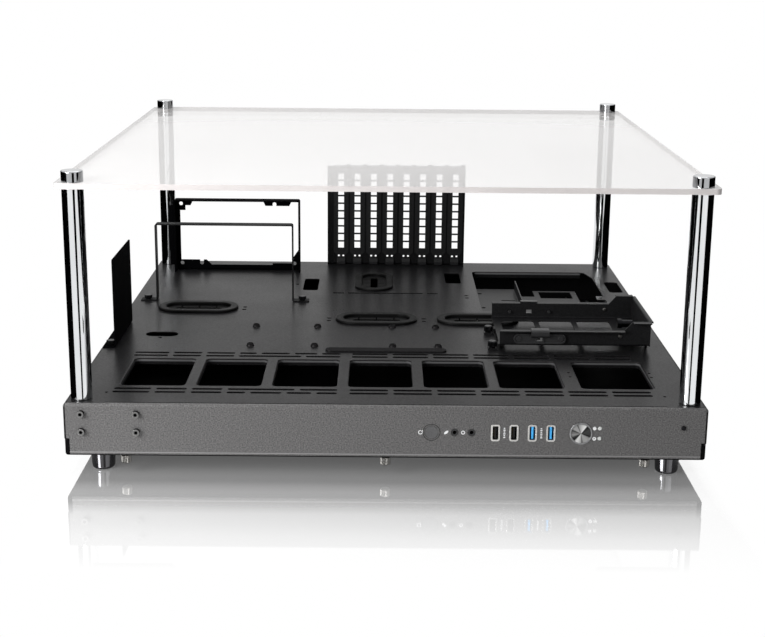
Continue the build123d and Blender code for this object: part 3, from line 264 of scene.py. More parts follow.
# powder coat on the front sheet, coarser and flatter, with a visible tooth: its dark grey is partly the
# coat's own tone and partly painted light for the sheen on its face, with a painted highlight along its
# lower bend
frontCoatAndSheen = {
    "colour": "#373636", "fleck": "#5f5e5e", "grain": 1.2, "drift": 80.0,
    "rough": (0.5, 0.58), "bump": 0.05, "edge": 0.7, "ior": 1.5, "specular": 0.4,
    "highlightHeights": ((20.2, 0.0), (22.2, 0.0), (22.5, 1.0), (23.2, 1.0), (23.5, 0.0), (67.8, 0.0)),
    "highlightColour": "#6e6d6d"}
# the thin coat on the small brackets: jet black and flat
bracketCoat = {
    "colour": "#09090a", "fleck": "#111112", "grain": 1.2, "drift": 40.0,
    "rough": (0.55, 0.65), "bump": 0.04, "edge": 0.4, "ior": 1.5, "specular": 0.07}
# the same coat on the drive trays, where it has run smooth on what lies flat
trayCoat = {
    "colour": "#0e0e0f", "fleck": "#1b1b1c", "grain": 1.2, "drift": 40.0, "settled": 0.36,
    "rough": (0.55, 0.65), "bump": 0.03, "edge": 0.5, "ior": 1.5, "specular": 0.09}
# the same coat on the loose slot covers, a shade paler
coverCoat = {
    "colour": "#111112", "fleck": "#1a1a1b", "grain": 1.0, "drift": 30.0,
    "rough": (0.48, 0.56), "bump": 0.03, "edge": 0.4, "ior": 1.5, "specular": 0.15}
# the side plate and the supply frame: near-black with no sheen at all, partly their own flat black and
# partly painted shade
plateCoatAndShade = {
    "colour": "#020203", "fleck": "#050506", "grain": 1.2, "drift": 40.0,
    "rough": (0.8, 0.88), "bump": 0.05, "edge": 0.4, "ior": 1.5, "specular": 0.01}
# the same flat black on the bottom pan, which lies mostly in its own shade, painted darker and duller as
# shade
panCoatAndShade = {
    "colour": "#060607", "fleck": "#0c0c0d", "grain": 1.4, "drift": 60.0,
    "rough": (0.6, 0.7), "bump": 0.04, "edge": 0.6, "ior": 1.5, "specular": 0.02}
# moulded rubber: soft black with a blunt shine along the rim
rubber = {
    "colour": "#060606", "fleck": "#0b0b0b", "grain": 1.4, "drift": 25.0,
    "rough": (0.42, 0.52), "bump": 0.02, "edge": 0.6, "ior": 1.52, "specular": 0.08}
# moulded ABS, spark-eroded tool face: black with a fine even tooth; also the painted shade ring round the
# reset button
blackAbsAndShade = {
    "colour": "#09090a", "fleck": "#101011", "grain": 0.8, "drift": 20.0,
    "rough": (0.4, 0.5), "bump": 0.03, "edge": 0.3, "ior": 1.54, "specular": 0.2}
# the same ABS with glass fibre for the clips and jacks, greyed by the fibre at its skin
filledAbs = {
    "colour": "#1a1a1b", "fleck": "#29292a", "grain": 0.8, "drift": 20.0,
    "rough": (0.38, 0.46), "bump": 0.03, "edge": 0.4, "ior": 1.54, "specular": 0.35}
# moulded ABS button cap in the panel's own grey
greyAbs = {
    "colour": "#3b3b3c", "fleck": "#4c4c4d", "grain": 1.0, "drift": 20.0,
    "rough": (0.42, 0.5), "bump": 0.03, "edge": 0.3, "ior": 1.54, "specular": 0.45}
# moulded ABS in bright blue, glossy from the tool
blueAbs = {
    "colour": "#2f9fe4", "fleck": "#44b0ee", "grain": 0.8, "drift": 20.0,
    "rough": (0.3, 0.4), "bump": 0.02, "edge": 0.2, "ior": 1.54, "specular": 0.5}
# glass-fibre board with a dark green solder mask, faintly woven
boardMask = {
    "colour": "#0d2416", "fleck": "#14301e", "grain": 0.6, "drift": 15.0,
    "rough": (0.3, 0.4), "bump": 0.02, "edge": 0.1, "ior": 1.55, "specular": 0.5}
# white silk-screen ink, dry and flat
panelInk = {
    "colour": "#c2c3c4", "fleck": "#d2d3d4", "grain": 0.5, "drift": 10.0,
    "rough": (0.5, 0.6), "bump": 0.01, "edge": 0.05, "ior": 1.5, "specular": 0.4}
# chrome plate on drawn tube: a mirror with the faintest draw lines along the tube
chrome = {
    "colour": "#dcdee0", "pale": "#e8eaeb", "line": 0.8, "stretch": (1.0, 1.0, 0.02), "drift": 60.0,
    "rough": (0.03, 0.06), "bump": 0.0005, "edge": 0.3}
# the same plate on the turned caps, with a darker base colour: a greyer mirror
capChrome = {
    "colour": "#a9aaac", "pale": "#b4b5b7", "line": 0.8, "stretch": (0.05, 0.05, 1.0), "drift": 20.0,
    "rough": (0.04, 0.08), "bump": 0.0005, "edge": 0.3}
# satin chrome on the power button's ring: a soft mid grey
satinChrome = {
    "colour": "#8b8b8c", "pale": "#999a9b", "line": 0.4, "stretch": (1.0, 0.1, 1.0), "drift": 6.0,
    "rough": (0.24, 0.34), "bump": 0.001, "edge": 0.25}
# black chrome on turned feet: a dark mirror
blackChrome = {
    "colour": "#4c4c4e", "pale": "#5a5a5c", "line": 0.6, "stretch": (0.05, 0.05, 1.0), "drift": 30.0,
    "rough": (0.08, 0.14), "bump": 0.0008, "edge": 0.5}
# zinc plate on cold-headed steel screws: pale, slightly blue, satin
zinc = {
    "colour": "#a9adb2", "pale": "#bfc3c7", "line": 0.4, "stretch": (1.0, 1.0, 1.0), "drift": 6.0,
    "rough": (0.25, 0.38), "bump": 0.004, "edge": 0.15}
# nickel plate on turned and drawn brass: warm grey, satin
nickel = {
    "colour": "#cdccc9", "pale": "#e0dfdc", "line": 0.4, "stretch": (0.1, 0.1, 1.0), "drift": 8.0,
    "rough": (0.2, 0.32), "bump": 0.002, "edge": 0.15}
# plain turned steel, lacquered: mid grey, satin
turnedSteel = {
    "colour": "#605f5d", "pale": "#74726f", "line": 0.5, "stretch": (0.2, 0.2, 1.0), "drift": 6.0,
    "rough": (0.26, 0.38), "bump": 0.002, "edge": 0.2}
# black oxide on steel screws: dark grey with an oily shine
blackOxide = {
    "colour": "#151516", "pale": "#202022", "line": 0.5, "stretch": (1.0, 1.0, 1.0), "drift": 5.0,
    "rough": (0.3, 0.42), "bump": 0.003, "edge": 0.2}
# black oxide on socket screws: the end face painted pale as a highlight, the round side and the socket
# painted near-black as shade
oxideLitEndShadedSide = {
    "colour": "#70706f", "pale": "#838281", "line": 0.5, "stretch": (1.0, 1.0, 1.0), "drift": 4.0,
    "rough": (0.26, 0.36), "bump": 0.003, "edge": 0.25,
    "side": "#040405", "end": -286.6, "specular": 0.03}
# gold flash on stamped contacts: warm and bright
goldFlash = {
    "colour": "#c8a24a", "pale": "#d8b866", "line": 0.4, "stretch": (1.0, 0.1, 1.0), "drift": 5.0,
    "rough": (0.2, 0.3), "bump": 0.001, "edge": 0.05}

finishes = {
    "deckCoat": grained("powderCoatedDeckSteel", deckCoat),
    "frontCoatAndSheen": grained("powderCoatedFrontSteelAndSheen", frontCoatAndSheen),
    "bracketCoat": grained("powderCoatedBracketSteel", bracketCoat),
    "trayCoat": grained("powderCoatedTraySteel", trayCoat),
    "coverCoat": grained("powderCoatedSlotCover", coverCoat),
    "plateCoatAndShade": grained("flatBlackPlateSteelAndShade", plateCoatAndShade),
    "panCoatAndShade": grained("flatBlackPanSteelAndShade", panCoatAndShade),
    "rubber": grained("mouldedRubber", rubber),
    "blackAbsAndShade": grained("mouldedBlackAbsAndShade", blackAbsAndShade),
    "filledAbs": grained("mouldedFilledAbs", filledAbs),
    "greyAbs": grained("mouldedGreyAbs", greyAbs),
    "blueAbs": grained("mouldedBlueAbs", blueAbs),
    "boardMask": grained("solderMaskedBoard", boardMask),
    "panelInk": grained("screenPrintedInk", panelInk),
    "chrome": metal("chromedTube", chrome),
    "capChrome": metal("chromedTurnedCap", capChrome),
    "satinChrome": metal("satinChromedRing", satinChrome),
    "blackChrome": metal("blackChromedSteel", blackChrome),
    "zinc": metal("zincPlatedSteel", zinc),
    "nickel": metal("nickelPlatedBrass", nickel),
    "turnedSteel": metal("lacqueredTurnedSteel", turnedSteel),
    "blackOxide": metal("blackOxideSteel", blackOxide),
    "oxideLitEndShadedSide": metal("blackOxideSteelLitEndShadedSide", oxideLitEndShadedSide),
    "goldFlash": metal("goldFlashedContact", goldFlash),
}


# cast acrylic sheet: clear when faced, at a low angle its pale colour shows as a painted reflection of the
# room's light, with sawn edges that glow pale
acrylicSheet = {
    "colour": "#f4f2f1", "edgeColour": "#b9b4b3", "edgeBelow": 0.5, "edgeSolid": 0.93,
    "faced": 0.012, "grazing": 0.585, "blend": 0.5, "turn": (0.55, 0.9), "saw": 1.5,
    "rough": (0.03, 0.3), "ior": 1.49}


def castAcrylic(name, look):
    material, tree, shader = newMaterial(name)
    coords = addNode(tree, "ShaderNodeTexCoord").outputs["Object"]
    facing = addNode(tree, "ShaderNodeNewGeometry").outputs["True Normal"]
    split = addNode(tree, "ShaderNodeSeparateXYZ", {"Vector": facing})
    flat = addNode(tree, "ShaderNodeMath", {0: split.outputs["Z"]}, operation="ABSOLUTE")
    onEdge = addNode(tree, "ShaderNodeMath", {
        0: flat.outputs["Value"], 1: look["edgeBelow"]}, operation="LESS_THAN")
    saw = addNode(tree, "ShaderNodeTexNoise", {"Vector": coords, "Scale": perMetre(look["saw"])})
    tone = addNode(tree, "ShaderNodeMix", {
        "Factor": onEdge.outputs["Value"], "A": hexColour(look["colour"]),
        "B": hexColour(look["edgeColour"])}, data_type="RGBA")
    sawn = addNode(tree, "ShaderNodeMath", {
        0: onEdge.outputs["Value"], 1: saw.outputs["Fac"]}, operation="MULTIPLY")
    rough = addNode(tree, "ShaderNodeMapRange", {
        "Value": sawn.outputs["Value"], "To Min": look["rough"][0], "To Max": look["rough"][1]})
    lean = addNode(tree, "ShaderNodeLayerWeight", {"Blend": look["blend"]})
    paintedGlare = addNode(tree, "ShaderNodeMapRange", {
        "Value": lean.outputs["Facing"], "From Min": look["turn"][0], "From Max": look["turn"][1],
        "To Min": look["faced"], "To Max": look["grazing"]})
    solid = addNode(tree, "ShaderNodeMix", {
        "Factor": onEdge.outputs["Value"], "A": paintedGlare.outputs["Result"], "B": look["edgeSolid"]},
        data_type="FLOAT")
    tree.links.new(tone.outputs["Result"], shader.inputs["Base Color"])
    tree.links.new(rough.outputs["Result"], shader.inputs["Roughness"])
    tree.links.new(solid.outputs["Result"], shader.inputs["Alpha"])
    shader.inputs["IOR"].default_value = look["ior"]
    return material


# spun aluminium button: fans of light painted into its colour, as painted highlights and shade, that run
# from its middle to its rim, each given by its angle in degrees and its brightness
# ring: mm for a radian of the wave, so the rings stand 2.5 mm apart, coarser than real ones to show
spunButton = {
    "dark": "#121213", "bright": "#e4e4e3", "rough": 0.34, "aniso": 0.6,
    "ring": 0.4, "waver": 1.0, "bump": 0.002,
    "paintedFans": ((-180, 0.35), (-165, 0.28), (-155, 0.06), (-135, 0.0), (-122, 0.9), (-105, 0.8), (-92, 0.55),
             (-82, 0.1), (-72, 0.45), (-50, 0.5), (-30, 0.4), (-18, 0.0), (-8, 0.07), (25, 0.08), (45, 0.02),
             (52, 0.05), (58, 1.0), (70, 0.85), (95, 0.55), (106, 0.4), (113, 0.04), (120, 0.4), (145, 0.45),
             (158, 0.02), (168, 0.2))}
waveUnit = 20  # a wave texture's own factor on its scale


def spunMetal(name, look, node):
    material, tree, shader = newMaterial(name)
    low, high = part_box(node)
    middle = (low + high) / 2
    coords = addNode(tree, "ShaderNodeTexCoord").outputs["Object"]
    faced = addNode(tree, "ShaderNodeMapping", {
        "Vector": coords, "Rotation": (-math.pi / 2, 0, 0), "Location": (-middle.x, -middle.z, middle.y)})
    around = addNode(tree, "ShaderNodeTexGradient", {
        "Vector": faced.outputs["Vector"]}, gradient_type="RADIAL")
    paintedFans = addNode(tree, "ShaderNodeValToRGB", {"Fac": around.outputs["Fac"]})
    dark, bright = hexColour(look["dark"]), hexColour(look["bright"])
    setStops(paintedFans.color_ramp, [
        (angle / fullTurn + 0.5, [d + (b - d) * level for d, b in zip(dark, bright)])
        for angle, level in look["paintedFans"]])
    rings = addNode(tree, "ShaderNodeTexWave", {
        "Vector": faced.outputs["Vector"], "Scale": perMetre(look["ring"] * waveUnit),
        "Distortion": look["waver"]}, wave_type="RINGS", rings_direction="Z")
    way = addNode(tree, "ShaderNodeTangent", direction_type="RADIAL", axis="Y")
    bump = addNode(tree, "ShaderNodeBump", {
        "Height": rings.outputs["Fac"], "Distance": look["bump"] * mm, "Strength": 1.0})
    tree.links.new(paintedFans.outputs["Color"], shader.inputs["Base Color"])
    tree.links.new(way.outputs["Tangent"], shader.inputs["Tangent"])
    tree.links.new(bump.outputs["Normal"], shader.inputs["Normal"])
    shader.inputs["Metallic"].default_value = 1.0
    shader.inputs["Roughness"].default_value = look["rough"]
    shader.inputs["Anisotropic"].default_value = look["aniso"]
    return material


# milky polycarbonate lens: soft white with a moulded gloss
lampLens = {"colour": "#e4e6e4", "shade": "#d2d5d3", "cloud": 1.5, "clear": 0.35, "rough": 0.25, "ior": 1.58}


def milkyLens(name, look):
    material, tree, shader = newMaterial(name)
    coords = addNode(tree, "ShaderNodeTexCoord").outputs["Object"]
    cloud = addNode(tree, "ShaderNodeTexNoise", {"Vector": coords, "Scale": perMetre(look["cloud"])})
    tone = addNode(tree, "ShaderNodeValToRGB", {"Fac": cloud.outputs["Fac"]})
    tone.color_ramp.elements[0].color = hexColour(look["shade"])
    tone.color_ramp.elements[1].color = hexColour(look["colour"])
    tree.links.new(tone.outputs["Color"], shader.inputs["Base Color"])
    shader.inputs["Roughness"].default_value = look["rough"]
    shader.inputs["Transmission Weight"].default_value = look["clear"]
    shader.inputs["IOR"].default_value = look["ior"]
    return material


finishes["acrylic"] = castAcrylic("castClearAcrylic", acrylicSheet)
finishes["spunPower"] = spunMetal("spunAluminiumButton", spunButton, "power_button")
finishes["lens"] = milkyLens("mouldedMilkyLens", lampLens)

nodeFinish = {
    "deck_panel": "deckCoat", "front_panel": "frontCoatAndSheen", "bottom_cover": "panCoatAndShade",
    "psu_frame": "plateCoatAndShade", "psu_strap": "bracketCoat", "side_support_plate": "plateCoatAndShade",
    "pci_bracket": "bracketCoat", "slot_cover": "coverCoat", "drive_tray": "trayCoat",
    "inner_drive_bracket": "trayCoat", "foot": "blackChrome", "post": "chrome", "post_cap": "capChrome",
    "acrylic_panel": "acrylic", "grommet": "rubber", "drive_clip": "filledAbs",
    "bracket_screws": "blackOxide", "bracket_thumbscrews": "blackOxide", "cover_thumbscrews": "turnedSteel",
    "foot_screws": "zinc", "post_screws": "blackOxide", "slot_screws": "blackOxide",
    "stand_screws": "oxideLitEndShadedSide", "tray_end_screw": "blackOxide", "tray_thumbscrews": "blackOxide",
    "power_button": "spunPower", "power_button_ring": "satinChrome", "reset_button": "greyAbs",
    "usb_shell": "nickel", "usb_insert": "blackAbsAndShade", "usb_insert_3": "blueAbs", "usb_insert_4": "blueAbs",
    "audio_jack": "filledAbs", "lamp_lenses": "lens", "io_board": "boardMask",
}


def finishFor(name):
    # the longest listed name that this node's name starts with
    fits = [key for key in nodeFinish if name.startswith(key)]
    return finishes[nodeFinish[max(fits, key=len)]]


for name, node in nodes.items():
    if not node.material_slots:
        node.data.materials.append(None)
    for place in node.material_slots:
        place.material = finishFor(name)
print("finishes set:", len(finishes))


def islandBoxes(name):
    # the boxes of a node's separate solids, left to right
    work = bmesh.new()
    work.from_mesh(nodes[name].data)
    bmesh.ops.remove_doubles(work, verts=work.verts[:], dist=weld)
    waiting = set(work.verts)
    boxes = []
    while waiting:
        pending = [waiting.pop()]
        found = []
        while pending:
            vert = pending.pop()
            found.append(vert.co.copy())
            near = [edge.other_vert(vert) for edge in vert.link_edges]
            pending += [other for other in near if other in waiting]
            waiting.difference_update(near)
        boxes.append((Vector(map(min, zip(*found))), Vector(map(max, zip(*found)))))
    work.free()
    return sorted(boxes, key=lambda box: tuple(box[0]))


def meshObject(name, work, material):
    mesh = bpy.data.meshes.new(name)
    work.to_mesh(mesh)
    work.free()
    mesh.materials.append(material)
    made = bpy.data.objects.new(name, mesh)
    scene.collection.objects.link(made)
    return made


def addPiece(name, work, finish, body="bench"):
    bmesh.ops.recalc_face_normals(work, faces=work.faces[:])
    piece = meshObject(name, work, finishes[finish])
    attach(piece, body)


def vertsOf(geom):
    return [part for part in geom if isinstance(part, bmesh.types.BMVert)]


def levelEdges(geom):
    edges = [part for part in geom if isinstance(part, bmesh.types.BMEdge)]
    return [edge for edge in edges if abs(edge.verts[0].co.z - edge.verts[1].co.z) < hair]


# straight knurl rolled on a screw head: teeth all round, chamfered at both ends
knurlSet = {
    "coverScrewKnurls": {
        "node": "cover_thumbscrews", "finish": "turnedSteel", "slot": "nickel",
        "head": 7.8, "onTop": False, "margin": 0.9, "teeth": 30, "depth": 0.35},
    "bracketScrewKnurls": {
        "node": "bracket_thumbscrews", "finish": "blackOxide", "slot": "black_oxide",
        "head": 3.8, "onTop": True, "margin": 0.5, "teeth": 28, "depth": 0.3},
    "trayScrewKnurls": {
        "node": "tray_thumbscrews", "finish": "blackOxide", "slot": "black_oxide",
        "head": 6.0, "onTop": True, "margin": 0.8, "teeth": 30, "depth": 0.35},
}


def knurlRing(work, look, low, high):
    middle = (low + high) / 2
    radius = (high.x - low.x) / 2
    deep = look["depth"] * mm
    headBottom = high.z - look["head"] * mm if look["onTop"] else low.z
    bottom = headBottom + look["margin"] * mm
    tall = (look["head"] - 2 * look["margin"]) * mm
    ring = bmesh.ops.create_circle(work, segments=2 * look["teeth"], radius=radius)["verts"]
    for vert in ring[::2]:
        vert.co *= (radius + deep) / radius
    bmesh.ops.translate(work, verts=ring, vec=(middle.x, middle.y, bottom))
    lower = list({edge for vert in ring for edge in vert.link_edges})
    raised = bmesh.ops.extrude_edge_only(work, edges=lower)["geom"]
    bmesh.ops.translate(work, verts=vertsOf(raised), vec=(0, 0, tall))
    upper = levelEdges(raised)
    hidden = []
    for loop, way in ((lower, -1), (upper, 1)):
        # each end draws in to a smaller ring inside the head
        drawn = bmesh.ops.extrude_edge_only(work, edges=loop)["geom"]
        for vert in vertsOf(drawn):
            vert.co.x = middle.x + (vert.co.x - middle.x) * (radius - deep) / radius
            vert.co.y = middle.y + (vert.co.y - middle.y) * (radius - deep) / radius
            vert.co.z += way * deep
        hidden += levelEdges(drawn)
    bmesh.ops.bridge_loops(work, edges=hidden)


for name, look in knurlSet.items():
    work = bmesh.new()
    for low, high in islandBoxes(look["node"]):
        knurlRing(work, look, low, high)
    addPiece(name, work, look["finish"])
print("knurls rolled:", len(knurlSet))

# marks printed on the front panel beside its sockets, in mm from the middle and from the socket line
printSet = {
    "line": 44.0, "ink": 0.04, "steps": 28, "sides": 24, "lamps": (4.75, -4.75),
    "resetArrow": {"x": 30.7, "out": 2.0, "wide": 0.7, "sweep": 285.0, "tip": 2.2},
    "voiceMark": {"x": 53.5, "long": 4.6, "wide": 2.2, "lean": -40.0},
    "earMark": {"x": 68.4, "out": 1.8, "wide": 0.75},
    "powerMark": {"x": 184.4, "wide": 3.2},
    "driveMark": {"x": 184.4, "out": 1.7, "wide": 1.1},
    "portBars": {"xs": (104.9, 137.5), "wide": 1.8, "tall": 1.0, "pitch": 1.7, "count": 6, "step": 0.3},
}
tipSides, barSides = 3, 4
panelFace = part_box("front_panel")[0].y - printSet["ink"] * mm


def flatRing(work, x, z, out, wide, sweep=fullTurn):
    # a short edge swept round the mark's middle
    ends = [work.verts.new(((x + r) * mm, panelFace, z * mm)) for r in (out - wide, out)]
    edge = work.edges.new(ends)
    bmesh.ops.spin(work, geom=ends + [edge], cent=(x * mm, panelFace, z * mm), axis=(0, 1, 0),
                   angle=math.radians(sweep), steps=printSet["steps"], use_merge=sweep == fullTurn)


def inkBlot(work, x, z, wide, tall, lean=0.0, sides=printSet["sides"]):
    # an oval, an arrow's tip or a bar
    if sides == barSides:
        blot = bmesh.ops.create_grid(work, x_segments=1, y_segments=1, size=0.5)["verts"]
    else:
        blot = bmesh.ops.create_circle(work, cap_ends=True, segments=sides, radius=0.5)["verts"]
    upright = Matrix.Rotation(math.radians(lean), 4, "Y") @ Matrix.Rotation(math.pi / 2, 4, "X")
    bmesh.ops.scale(work, verts=blot, vec=(wide * mm, tall * mm, 1))
    place = Matrix.Translation((x * mm, panelFace, z * mm))
    bmesh.ops.transform(work, verts=blot, matrix=place @ upright)


def printMarks(looks):
    work = bmesh.new()
    line = looks["line"]
    high, low = (line + lift for lift in looks["lamps"])
    look = looks["resetArrow"]
    flatRing(work, look["x"], line, look["out"], look["wide"], look["sweep"])
    tipX = look["x"] + look["out"] - look["wide"] / 2
    inkBlot(work, tipX, line + look["tip"] / 2, look["tip"], look["tip"], sides=tipSides)
    look = looks["voiceMark"]
    inkBlot(work, look["x"], line, look["long"], look["wide"], look["lean"])
    look = looks["earMark"]
    flatRing(work, look["x"], line, look["out"], look["wide"])
    look = looks["powerMark"]
    inkBlot(work, look["x"], high, look["wide"], look["wide"])
    look = looks["driveMark"]
    flatRing(work, look["x"], low, look["out"], look["wide"])
    look = looks["portBars"]
    for x in look["xs"]:
        for i in range(look["count"]):
            z = line + look["pitch"] * (i - (look["count"] - 1) / 2)
            wide = look["wide"] * (1 - look["step"] * (i % 2))  # every second bar is shorter
            inkBlot(work, x, z, wide, look["tall"], sides=barSides)
    bmesh.ops.solidify(work, geom=work.faces[:], thickness=looks["ink"] * mm)
    return work


def resetGapShade(look):
    work = bmesh.new()
    low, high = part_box("reset_button")
    middle = (low + high) / 2 / mm
    flatRing(work, middle.x, middle.z, (high.x - low.x) / 2 / mm + look["wide"], look["wide"])
    bmesh.ops.solidify(work, geom=work.faces[:], thickness=printSet["ink"] * mm)
    return work


addPiece("panelMarks", printMarks(printSet), "panelInk")
# a thin black ring round the reset button: painted shade standing in for the shadow in the gap round it
gapShadeSet = {"wide": 0.55}
addPiece("resetGapShade", resetGapShade(gapShadeSet), "blackAbsAndShade")
print("marks printed")

# gold contacts pressed into each socket's tongue
contactSet = {"count": 4, "pitch": 2.3, "tall": 1.1, "long": 7.0, "proud": 0.05, "back": 1.2, "tip": 0.5}


def contactFace(name, tip):
    # the left face of the tongue's tip, which stands free in the socket
    low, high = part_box(name)
    return min(vert.co.x for vert in nodes[name].data.vertices if vert.co.y < low.y + tip * mm)


def socketContacts(look):
    work = bmesh.new()
    for name in [key for key in nodes if key.startswith("usb_insert_")]:
        low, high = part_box(name)
        middle = (low + high) / 2
        for i in range(look["count"]):
            strip = bmesh.ops.create_cube(work, size=1.0)["verts"]
            bmesh.ops.scale(work, verts=strip, vec=(
                2 * look["proud"] * mm, look["long"] * mm, look["tall"] * mm))
            z = middle.z + look["pitch"] * (i - (look["count"] - 1) / 2) * mm
            y = low.y + (look["back"] + look["long"] / 2) * mm
            bmesh.ops.translate(work, verts=strip, vec=(contactFace(name, look["tip"]), y, z))
    return work


addPiece("socketContacts", socketContacts(contactSet), "goldFlash")
print("contacts set")

# rivet heads that hold the tray's end to its two walls
rivetSet = {"x": 234.3, "rise": 12.5, "across": 4.2, "proud": 0.6, "crown": 0.7, "sides": 24,
            "walls": (-105.2, -1.0), "sheet": 1.2}


def rivetHeads(look):
    work = bmesh.new()
    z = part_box("deck_panel")[1].z + look["rise"] * mm
    for wall in look["walls"]:
        for y, way in ((wall, -1), (wall + look["sheet"], 1)):
            head = bmesh.ops.create_circle(
                work, cap_ends=True, segments=look["sides"], radius=look["across"] / 2 * mm)["verts"]
            disc = list({f for v in head for f in v.link_faces})
            crown = vertsOf(bmesh.ops.extrude_face_region(work, geom=disc)["geom"])
            bmesh.ops.translate(work, verts=crown, vec=(0, 0, look["proud"] * mm))
            bmesh.ops.scale(work, verts=crown, vec=(look["crown"], look["crown"], 1))
            turn = Matrix.Rotation(-way * math.pi / 2, 4, "X")
            place = Matrix.Translation((look["x"] * mm, y * mm, z))
            bmesh.ops.transform(work, verts=head + crown, matrix=place @ turn)
    return work


addPiece("trayRivets", rivetHeads(rivetSet), "turnedSteel")
print("rivets set")

# beads of black sealer in the two rear corners, where the deck's folds meet
beadSet = {"across": 4.0, "wall": 1.2, "sides": 16, "low": 24.0, "high": 66.0}


def cornerBeads(look):
    work = bmesh.new()
    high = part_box("deck_panel")[1]
    inside = high - Vector((1, 1, 0)) * (look["wall"] + look["across"] / 4) * mm
    radius = look["across"] / 2 * mm
    tall = (look["high"] - look["low"]) * mm
    halfway = (look["high"] + look["low"]) / 2 * mm
    for side in (-1, 1):
        bead = bmesh.ops.create_cone(
            work, cap_ends=True, segments=look["sides"], radius1=radius, radius2=radius, depth=tall)["verts"]
        bmesh.ops.translate(work, verts=bead, vec=(side * inside.x, inside.y, halfway))
    return work


addPiece("cornerBeads", cornerBeads(beadSet), "panCoatAndShade")
print("beads laid")

# white floor, white room, three soft lamps
# mirror: how much the floor mirrors the bench, by metres in front of it, from behind it outwards
floorSet = {
    "reach": 6.0, "colour": "#efefef", "gloss": 0.04, "side": 0.05,
    "shadeReach": (0.0, 0.2), "shadeLift": 0.45, "sideShade": (-0.02, 0.01),
    "mirror": (
        (-0.7, 0.0), (-0.67, 0.07), (-0.62, 0.28), (-0.57, 0.7), (-0.5, 0.79), (-0.06, 0.79),
        (-0.035, 0.76), (-0.02, 0.75), (-0.007, 0.72), (0.006, 0.72), (0.018, 0.65), (0.03, 0.61),
        (0.054, 0.62), (0.078, 0.36), (0.102, 0.28), (0.126, 0.18), (0.15, 0.12), (0.168, 0.07),
        (0.185, 0.0))}
worldSet = {"fill": 0.36}
lampSet = {
    "keyLamp": {
        "place": (-0.85, -0.92, 0.48), "aim": (-0.2, -0.28, 0.04), "size": (0.6, 0.6), "power": 19.0},
    "fillLamp": {
        "place": (1.2, -1.7, 0.9), "aim": (0, 0, 0.05), "size": (1.2, 1.0), "power": 2.0},
    "topLamp": {
        "place": (0.0, 0.5, 1.9), "aim": (0, 0.1, 0.0), "size": (1.6, 1.2), "power": 16.0},
}
# black cloths laid and hung beside the bench, and strips laid and stood before it:
# they show in glossy surfaces and nowhere else
clothSet = {
    "layCloth": (
        (0.345, -0.353, 0.001), (1.7, -1.71, 0.001), (1.7, 1.9, 0.001), (0.345, 1.9, 0.001)),
    "hungCloth": (
        (0.66, -0.67, 0.0), (0.66, 1.3, 0.0), (0.66, 1.3, 0.42), (0.66, -0.67, 0.42)),
    "layStrip": (
        (0.225, -0.46, 0.001), (0.164, -0.46, 0.001), (0.12, -0.534, 0.001), (0.194, -0.586, 0.001)),
    "stoodStrip": (
        (0.194, -0.586, 0.0), (0.12, -0.534, 0.0), (0.095, -0.517, 0.3), (0.219, -0.603, 0.3)),
}
# black duvetyn: swallows nearly all light
duvetynSet = {"colour": "#020202", "rough": 1.0, "specular": 0.0}


def seenByEye(tree):
    # 1 for what the eye sees straight, in gloss or through the clear sheet, 0 for bounced light
    path = addNode(tree, "ShaderNodeLightPath").outputs
    straight = addNode(tree, "ShaderNodeMath", {
        0: path["Is Camera Ray"], 1: path["Is Glossy Ray"]}, operation="MAXIMUM")
    through = addNode(tree, "ShaderNodeMath", {
        0: straight.outputs["Value"], 1: path["Is Transmission Ray"]}, operation="MAXIMUM")
    return through.outputs["Value"]


